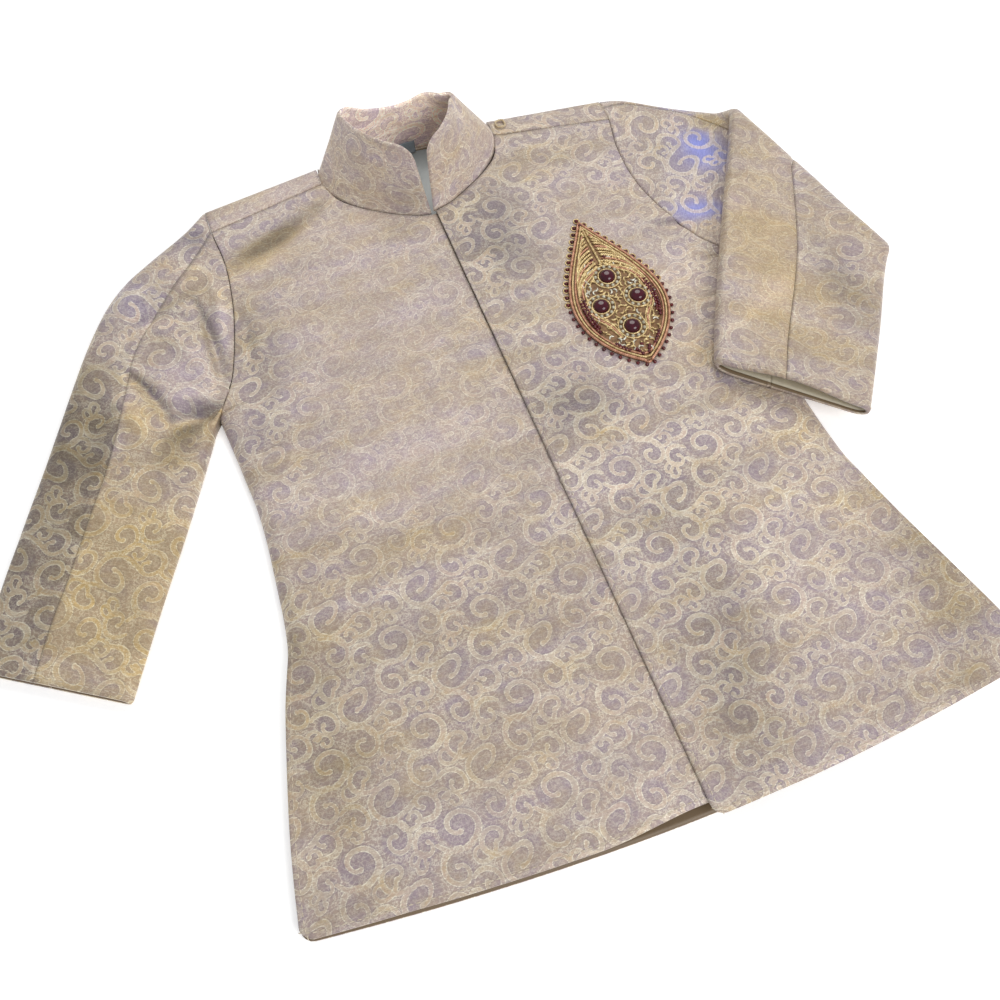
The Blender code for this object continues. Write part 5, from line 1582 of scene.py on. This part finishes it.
def tube_along(path, radius, sides, closed):
    """Points and faces of a round cord along a path that runs nearly level."""
    count = len(path)
    run = np.roll(path, -1, axis=0) - np.roll(path, 1, axis=0) if closed else np.gradient(path, axis=0)
    beside = np.cross(run, (0.0, 0.0, 1.0))
    beside /= np.linalg.norm(beside, axis=1, keepdims=True)
    over = np.cross(beside, run)
    over /= np.linalg.norm(over, axis=1, keepdims=True)
    turns = np.linspace(0.0, 2 * math.pi, sides, endpoint=False)
    around = beside[:, None] * np.cos(turns)[None, :, None] + over[:, None] * np.sin(turns)[None, :, None]
    points = path[:, None] + around * np.broadcast_to(radius, (count,))[:, None, None]
    faces = []
    for place in range(count if closed else count - 1):
        here, there = place * sides, (place + 1) % count * sides
        for side in range(sides):
            beyond = (side + 1) % sides
            faces.append((here + side, here + beyond, there + beyond, there + side))
    if not closed:
        faces.append(tuple(range(sides)))
        faces.append(tuple(range((count - 1) * sides, count * sides)))
    return points.reshape(-1, 3), faces


def joined_shapes(name, shapes, materials):
    """One mesh object of several closed shapes: points, faces and the number of their material."""
    points, faces, kinds, start = [], [], [], 0
    for shape_points, shape_faces, kind in shapes:
        points.append(shape_points)
        faces += [tuple(corner + start for corner in face) for face in shape_faces]
        kinds += [kind] * len(shape_faces)
        start += len(shape_points)
    mesh = frame_mesh(name, np.vstack(points), [], faces, materials)
    mesh.polygons.foreach_set("material_index", kinds)
    work = bmesh.new()
    work.from_mesh(mesh)
    bmesh.ops.recalc_face_normals(work, faces=work.faces)
    work.to_mesh(mesh)
    work.free()
    mesh.shade_smooth()
    return add_object(name, mesh)


def metal_finish(name, bright, dark, metallic, roughness):
    """A plain material in two tones, bright and dark in soft patches, like tarnished thread."""
    made, tree, shader = add_material(name)
    place = tree.nodes.new("ShaderNodeTexCoord").outputs["Object"]
    tarnish = noise_of(tree, place, 420.0, 3.0, 0.6)
    clean = calc(tree, "MULTIPLY_ADD", calc(tree, "SUBTRACT", tarnish, 0.5), 2.4, 0.62)
    clean = held_in_range(tree, clean)
    set_sockets(
        shader,
        Base_Color=blend_colours(tree, clean, (*dark, 1.0), (*bright, 1.0)),
        Roughness=calc(tree, "MULTIPLY_ADD", clean, -0.15, roughness + 0.1),
        Metallic=metallic,
    )
    return made


loop_cord = metal_finish("loop_cord", (0.72, 0.60, 0.40), (0.40, 0.30, 0.17), 0.2, 0.45)
turns = np.linspace(0.0, 2 * math.pi, LOOP_POINTS, endpoint=False)
square = np.maximum(np.abs(np.cos(turns)), np.abs(np.sin(turns))) ** 0.5
outward = np.stack([np.cos(turns), np.sin(turns), 0 * turns], axis=1)
shapes = []
for ply in (0.0, math.pi):
    twist = LOOP_TURNS * turns + ply
    reach = LOOP_HALF / square + (LOOP_CORD / 2 - LOOP_PLY) * np.cos(twist)
    path = outward * reach[:, None] + (*LOOP_CENTRE, LOOP_Z)
    path[:, 2] += (LOOP_CORD / 2 - LOOP_PLY) * np.sin(twist)
    shapes.append((*tube_along(path, LOOP_PLY, 8, True), 0))
loop = joined_shapes("shoulder_loop", shapes, [loop_cord])
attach(loop, "root")
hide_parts("neck_loop")

# ---- applique --------------------------------------------------------------------------------
# A pointed oval of padded dark silk, covered with laid gold and copper thread, four red stones in rings
# of pearls, and garnet beads. It is sewn to the wearer's left front.
BROOCH_CENTRE, BROOCH_HALF_LENGTH, BROOCH_HALF_WIDTH = (71.5, 268.5), 49.0, 25.5
BROOCH_WIDEST, BROOCH_FULLNESS = 0.6, 0.8
BROOCH_EDGE, BROOCH_CROWN, BROOCH_UNEVEN = 1.05, 1.2, 0.12
BROOCH_ROWS, BROOCH_ACROSS = 90, 44
STONE_RADIUS, STONE_HEIGHT = 4.2, 3.2
STONE_PLACES = ((0.0, 8.0), (-10.5, -9.0), (10.5, -9.0), (0.0, -26.0))
PEARL_RADIUS, PEARL_RING, PEARLS = 0.95, 6.3, 13
GARNET_RADIUS, GARNET_SPACING, RING_RADIUS = 1.05, 4.7, 1.6
ROPE_PITCH, ROPE_SWELL, ROPE_SIDES = 1.15, 0.16, 7
GOLD, COPPER, SILVER = 0, 1, 3  # numbers of the metal work's materials, in its list
SPRAY_LINES, HEART_INSETS = 12, (0.0, 1.5, 3.0)
FILLER_TRIES, FILLERS, FILLER_SPACING = 2600, 151, 2.0


def brooch_half_width(share):
    power = math.log(0.5) / math.log(BROOCH_WIDEST)
    return BROOCH_HALF_WIDTH * np.sin(math.pi * share**power) ** BROOCH_FULLNESS


def brooch_outline(inset, count):
    """A closed line round the applique at a distance inside its edge, from the top round its right side."""
    shares = 0.5 - 0.5 * np.cos(np.linspace(0.0, math.pi, 200))
    half = np.stack([brooch_half_width(shares), BROOCH_HALF_LENGTH * (1 - 2 * shares)], axis=1)
    line = np.vstack([half[:-1], (half * (-1, 1))[:0:-1]])
    run = np.roll(line, -1, axis=0) - np.roll(line, 1, axis=0)
    inward = np.stack([run[:, 1], -run[:, 0]], axis=1)
    inward /= np.linalg.norm(inward, axis=1, keepdims=True)
    line = line + inset * inward
    if inset > 0:
        line = line[np.abs(line[:, 1]) < BROOCH_HALF_LENGTH - 1.5 * inset]
    closed = np.vstack([line, line[:1]])
    return along(closed, np.linspace(0.0, 1.0, count + 1))[:-1]


def ring_round(place, radius, count):
    """Points of a circle round a place."""
    turn = np.linspace(0.0, 2 * math.pi, count, endpoint=False)
    return np.stack([place[0] + radius * np.cos(turn), place[1] + radius * np.sin(turn)], axis=1)


def heights_under(objects, plan):
    """The height of the topmost of some pieces at plan points, by rays from above."""
    found = np.zeros(plan.shape[:-1])
    for piece in objects:
        tree = BVHTree.FromObject(piece, bpy.context.evaluated_depsgraph_get())
        for index in np.ndindex(found.shape):
            x, y = plan[index][:2]
            hit = tree.ray_cast(Vector((x * MM, (y - ORIGIN_Y) * MM, 1.0)), Vector((0.0, 0.0, -1.0)))
            if hit[0] is not None:
                found[index] = max(found[index], hit[0].z / MM)
    return found


brooch_silk = metal_finish("brooch_silk", (0.26, 0.14, 0.055), (0.08, 0.036, 0.016), 0.3, 0.5)
gold_thread = metal_finish("gold_thread", (0.83, 0.66, 0.34), (0.33, 0.19, 0.07), 0.6, 0.32)
copper_thread = metal_finish("copper_thread", (0.74, 0.40, 0.26), (0.30, 0.12, 0.065), 0.5, 0.36)
pearl = metal_finish("pearl", (0.66, 0.62, 0.48), (0.34, 0.30, 0.20), 0.15, 0.25)
silver_thread = metal_finish("silver_thread", (0.80, 0.78, 0.66), (0.36, 0.31, 0.22), 0.5, 0.3)
garnet = metal_finish("garnet", (0.14, 0.014, 0.016), (0.035, 0.004, 0.007), 0.0, 0.16)
red_stone = metal_finish("red_stone", (0.075, 0.002, 0.012), (0.028, 0.001, 0.006), 0.0, 0.05)

shares = np.linspace(0.012, 0.988, BROOCH_ROWS)
across = np.linspace(-1.0, 1.0, BROOCH_ACROSS)
brooch_x = BROOCH_CENTRE[0] + brooch_half_width(shares)[:, None] * across[None]
brooch_y = BROOCH_CENTRE[1] + BROOCH_HALF_LENGTH * (1 - 2 * shares)[:, None] + 0 * brooch_x
plan = np.dstack([brooch_x, brooch_y])
under = heights_under([left_front], plan) + 0.2
crown = BROOCH_CROWN * (1 - across**2)[None] * np.sin(math.pi * shares)[:, None] ** 0.5
upper = under + BROOCH_EDGE + crown + BROOCH_UNEVEN * rumple(brooch_x, brooch_y, 1.6, seed=9.9)
brooch_base = cloth_shell(
    "applique_base",
    np.dstack([plan, upper]),
    np.dstack([plan, under]),
    plan,
    tone_and_painted_light(brooch_x, brooch_y, ()),
    [brooch_silk],
)
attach(brooch_base, "root")
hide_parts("brooch_base")


def laid(points, lift):
    """Points of the applique's own plan, put on what lies under them."""
    plan = np.asarray(points, float)[:, :2] + BROOCH_CENTRE
    return np.column_stack([plan, heights_under([left_front, brooch_base], plan) + lift])


def roped(points, radius, kind, closed=False, step=0.3):
    """A twisted cord laid along points of the applique: its tube swells and thins at every turn."""
    points = np.asarray(points, float)
    count = max(int(run_along(points)[-1] / step), 6)
    number = np.arange(count)
    if closed:
        path = along(np.vstack([points, points[:1]]), np.linspace(0.0, 1.0, count + 1))[:-1]
        ends = 1.0
    else:
        path = along(points, np.linspace(0.0, 1.0, count))
        ends = np.clip(np.minimum(number, count - 1 - number) / 3 + 0.3, 0, 1)
    swell = 1 + ROPE_SWELL * np.cos(2 * math.pi * number * step / ROPE_PITCH)
    return (*tube_along(laid(path, 0.55 * radius), radius * swell * ends, ROPE_SIDES, closed), kind)


def petal_line(start, end, bow, count=24):
    """A curved line from one point to another, bowed to its left by a share of its length."""
    start, end = np.array(start), np.array(end)
    share = np.linspace(0.0, 1.0, count)[:, None]
    run = end - start
    return start + run * share + bow * 4 * share * (1 - share) * np.array([-run[1], run[0]])


shapes = [
    roped(brooch_outline(0.3, 300), 0.72, COPPER, True),
    roped(brooch_outline(1.9, 280), 0.6, GOLD, True),
    roped(brooch_outline(3.4, 260), 0.5, COPPER, True),
]
# two sprays of laid gold that open from the middle line towards the border, like the vanes of a feather
for side in (-1.0, 1.0):
    for number in range(SPRAY_LINES):
        share = number / (SPRAY_LINES - 1)
        foot = (side * (0.9 + 1.2 * share), 41.0 - 25.0 * share)
        tip_share = 0.12 + 0.46 * share
        tip_x = side * (brooch_half_width(np.array(tip_share)) - 5.4)
        tip = (tip_x, BROOCH_HALF_LENGTH * (1 - 2 * tip_share))
        if tip[1] > foot[1] - 1.5:
            continue
        thickness = 0.56 if number % 2 else 0.8
        kind = COPPER if number % 4 == 1 else GOLD
        shapes.append(roped(petal_line(foot, tip, side * 0.16), thickness, kind, step=0.34))
shapes.append(roped([(0.0, 43.0), (0.0, 16.0)], 0.7, GOLD))
# a heart of gold lines round the lower stones
for side in (-1.0, 1.0):
    for inset in HEART_INSETS:
        heart = [
            (side * (2.0 + inset), 15.5 - inset),
            (side * (14.5 - 0.4 * inset), 8.5 - 0.8 * inset),
            (side * (19.0 - inset), -4.0),
            (side * (17.5 - inset), -14.0),
            (side * (11.5 - 0.8 * inset), -22.5),
            (side * (8.2 - 0.3 * inset), -31.0),
        ]
        kind = COPPER if inset == HEART_INSETS[1] else GOLD
        shapes.append(roped(rounded_path(heart), 0.5, kind, step=0.34))
# the two gold rings of each stone's setting
for place in STONE_PLACES:
    for radius, thickness in ((STONE_RADIUS + 0.55, 0.5), (PEARL_RING + 1.15, 0.42)):
        shapes.append(roped(ring_round(place, radius, 60), thickness, GOLD, True, step=0.34))
# a gold ring round every bead of the upper edge
edge_line = brooch_outline(-1.5, 400)
bead_shares = np.linspace(0.0, 1.0, round(run_along(edge_line)[-1] / GARNET_SPACING))
edge_beads = along(edge_line, bead_shares[:-1])
for place in edge_beads[edge_beads[:, 1] > -4.0]:
    shapes.append(roped(ring_round(place, RING_RADIUS, 24), 0.36, GOLD, True, step=0.36))
# small coiled pieces that fill the ground between the settings and the laid lines
chooser = random.Random(5)
taken = []
for attempt in range(FILLER_TRIES):
    place = chooser.uniform(-20.0, 20.0), chooser.uniform(-42.0, 20.0)
    share = (1 - place[1] / BROOCH_HALF_LENGTH) / 2
    if len(taken) == FILLERS or abs(place[0]) > brooch_half_width(np.array(share)) - 6.0:
        continue
    if any(math.dist(place, stone) < PEARL_RING + 2.4 for stone in STONE_PLACES):
        continue
    if any(math.dist(place, filler) < FILLER_SPACING for filler in taken):
        continue
    taken.append(place)
    turn = chooser.uniform(0, 2 * math.pi)
    half = 1.5 * np.array((math.cos(turn), math.sin(turn)))
    bend = chooser.choice((-0.35, 0.35))
    kind = chooser.choice((GOLD, GOLD, SILVER))
    shapes.append(roped(petal_line(place - half, place + half, bend, 8), 0.52, kind, step=0.34))
metal_work = joined_shapes("applique_threads", shapes, [gold_thread, copper_thread, garnet, silver_thread])
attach(metal_work, "root")


def new_growth(name, sizes):
    """An empty Geometry Nodes tree that takes a mesh, sizes and a material."""
    inputs = [("Geometry", "Geometry"), *((size, "Float") for size in sizes), ("Material", "Material")]
    return new_group(name, inputs, [("Geometry", "Geometry")], "GeometryNodeTree")


def set_out(tree, given, made, **sockets):
    """Sets a ball on each point, and makes the balls one smooth mesh of the given material."""
    placed = tree.nodes.new("GeometryNodeInstanceOnPoints")
    set_sockets(placed, **sockets)
    real = add_node(tree, "GeometryNodeRealizeInstances", placed.outputs[0])
    smoothed = add_node(tree, "GeometryNodeSetShadeSmooth", real.outputs[0])
    finished = add_node(tree, "GeometryNodeSetMaterial", smoothed.outputs[0])
    set_sockets(finished, Material=given["Material"])
    feed(made["Geometry"], finished.outputs[0])


def ball_of(tree, radius):
    ball = tree.nodes.new("GeometryNodeMeshIcoSphere")
    set_sockets(ball, Subdivisions=2, Radius=radius)
    return ball.outputs["Mesh"]


def build_bead_tree():
    """Sets a bead on every point of a mesh."""
    tree, given, made = new_growth("strung_beads", ("Bead Radius", "Height Share"))
    size = add_node(tree, "ShaderNodeCombineXYZ", 1.0, 1.0, given["Height Share"]).outputs[0]
    points = add_node(tree, "GeometryNodeMeshToPoints", given["Geometry"]).outputs[0]
    set_out(tree, given, made, Points=points, Instance=ball_of(tree, given["Bead Radius"]), Scale=size)
    return tree


def socket_id(tree, name):
    """The identifier of a node group's input, by its name."""
    inputs = (item for item in tree.interface.items_tree if item.in_out == "INPUT")
    return next(item.identifier for item in inputs if item.name == name)


def grown(name, points, edges, tree, **inputs):
    """Runs a Geometry Nodes tree on a mesh of points and keeps the result as a plain mesh."""
    mesh = frame_mesh(name + "_places", points, edges, [])
    made = add_object(name, mesh)
    modifier = made.modifiers.new("grow", "NODES")
    modifier.node_group = tree
    for input_name, value in inputs.items():
        modifier[socket_id(tree, input_name.replace("_", " "))] = value
    evaluated = made.evaluated_get(bpy.context.evaluated_depsgraph_get())
    finished = bpy.data.meshes.new_from_object(evaluated)
    made.modifiers.clear()
    made.data = finished
    finished.name = name
    bpy.data.meshes.remove(mesh)
    return made


pearls = [laid(ring_round(place, PEARL_RING, PEARLS), 0.5 * PEARL_RADIUS) for place in STONE_PLACES]
garnets = [laid(edge_beads, 0.4)]
# bars of small garnets beside the stones and at both tips
for side in (-1.0, 1.0):
    for inset, low, high, count in ((5.6, 0.50, 0.74, 13), (7.2, 0.53, 0.71, 10), (5.2, 0.84, 0.90, 5)):
        bar_shares = np.linspace(low, high, count)
        bar_x = side * (brooch_half_width(bar_shares) - inset)
        garnets.append(laid(np.column_stack([bar_x, BROOCH_HALF_LENGTH * (1 - 2 * bar_shares)]), 0.35))
    tip_bar = [(side * (1.7 + 0.9 * step), -43.5 + 1.7 * step) for step in range(3)]
    garnets.append(laid(tip_bar, 0.35))
garnets.append(laid([(0.0, -38.0), (0.0, 45.6), (-3.6, 20.5), (3.6, 20.5)], 0.5))
bead_tree = build_bead_tree()
for name, places, radius, height_share, material in (
    ("applique_pearls", pearls, PEARL_RADIUS, 1.0, pearl),
    ("applique_garnets", garnets, GARNET_RADIUS, 0.9, garnet),
):
    beads = grown(
        name,
        np.vstack(places),
        [],
        bead_tree,
        Bead_Radius=radius * MM,
        Height_Share=height_share,
        Material=material,
    )
    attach(beads, "root")

for number, place in enumerate(STONE_PLACES, start=1):
    rings, sides = 12, 40
    centre = np.array(BROOCH_CENTRE) + place
    foot = heights_under([brooch_base], centre[None])[0] + 0.1
    angle = np.linspace(0.0, math.pi / 2, rings + 1)[:-1]
    turn = np.linspace(0.0, 2 * math.pi, sides, endpoint=False)
    radius = STONE_RADIUS * np.cos(angle) ** 0.8
    points = np.stack(
        [
            centre[0] + radius[:, None] * np.cos(turn),
            centre[1] + radius[:, None] * np.sin(turn),
            np.broadcast_to(foot + STONE_HEIGHT * np.sin(angle)[:, None], (rings, sides)),
        ],
        axis=2,
    ).reshape(-1, 3)
    points = np.vstack([points, (*centre, foot + STONE_HEIGHT)])
    faces = [tuple(range(sides))]
    for ring in range(rings):
        for side in range(sides):
            low, beyond = ring * sides, (side + 1) % sides
            if ring < rings - 1:
                faces.append((low + side, low + beyond, low + sides + beyond, low + sides + side))
            else:
                faces.append((low + side, low + beyond, rings * sides))
    stone = joined_shapes("stone_%d" % number, [(points, faces, 0)], [red_stone])
    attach(stone, "root")
    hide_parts("brooch_stone_%d" % number)

# ---- topstitching ----------------------------------------------------------------------------
# Champagne thread, a stitch about every three millimetres along the hems, the slits, the front edge and
# the cuffs, drawn a little into the cloth.
STITCH_PITCH, STITCH_LENGTH, THREAD_RADIUS = 3.1, 2.2, 0.24
STITCH_LIFT = 0.06  # of the thread's middle above the cloth, and of its underside above the table


def build_stitch_tree():
    """Sews stitches along the edges of a mesh."""
    sizes = ("Pitch", "Stitch Length", "Thread Radius")
    tree, given, made = new_growth("running_stitch", sizes)
    line = add_node(tree, "GeometryNodeMeshToCurve", given["Geometry"])
    spaced = add_node(tree, "GeometryNodeResampleCurve", mode="LENGTH")
    set_sockets(spaced, Curve=line.outputs[0], Length=given["Pitch"])
    tangent = tree.nodes.new("GeometryNodeInputTangent").outputs[0]
    turned = add_node(tree, "FunctionNodeAlignRotationToVector", axis="X")
    set_sockets(turned, Vector=tangent)
    half, thread = calc(tree, "MULTIPLY", given["Stitch Length"], 0.5), given["Thread Radius"]
    set_out(
        tree,
        given,
        made,
        Points=spaced.outputs[0],
        Instance=ball_of(tree, 1.0),
        Rotation=turned.outputs[0],
        Scale=add_node(tree, "ShaderNodeCombineXYZ", half, thread, thread).outputs[0],
    )
    return tree


sewing_thread = metal_finish("sewing_thread", (0.70, 0.62, 0.48), (0.48, 0.40, 0.29), 0.0, 0.5)
points, edges, start = [], [], 0
for line in stitch_lines:
    lowest = (-np.inf, -np.inf, THREAD_RADIUS + STITCH_LIFT)
    points.append(np.maximum(line + (0.0, 0.0, STITCH_LIFT), lowest))
    edges += [(start + index, start + index + 1) for index in range(len(line) - 1)]
    start += len(line)
stitching = grown(
    "topstitching",
    np.vstack(points),
    edges,
    build_stitch_tree(),
    Pitch=STITCH_PITCH * MM,
    Stitch_Length=STITCH_LENGTH * MM,
    Thread_Radius=THREAD_RADIUS * MM,
    Material=sewing_thread,
)
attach(stitching, "root")
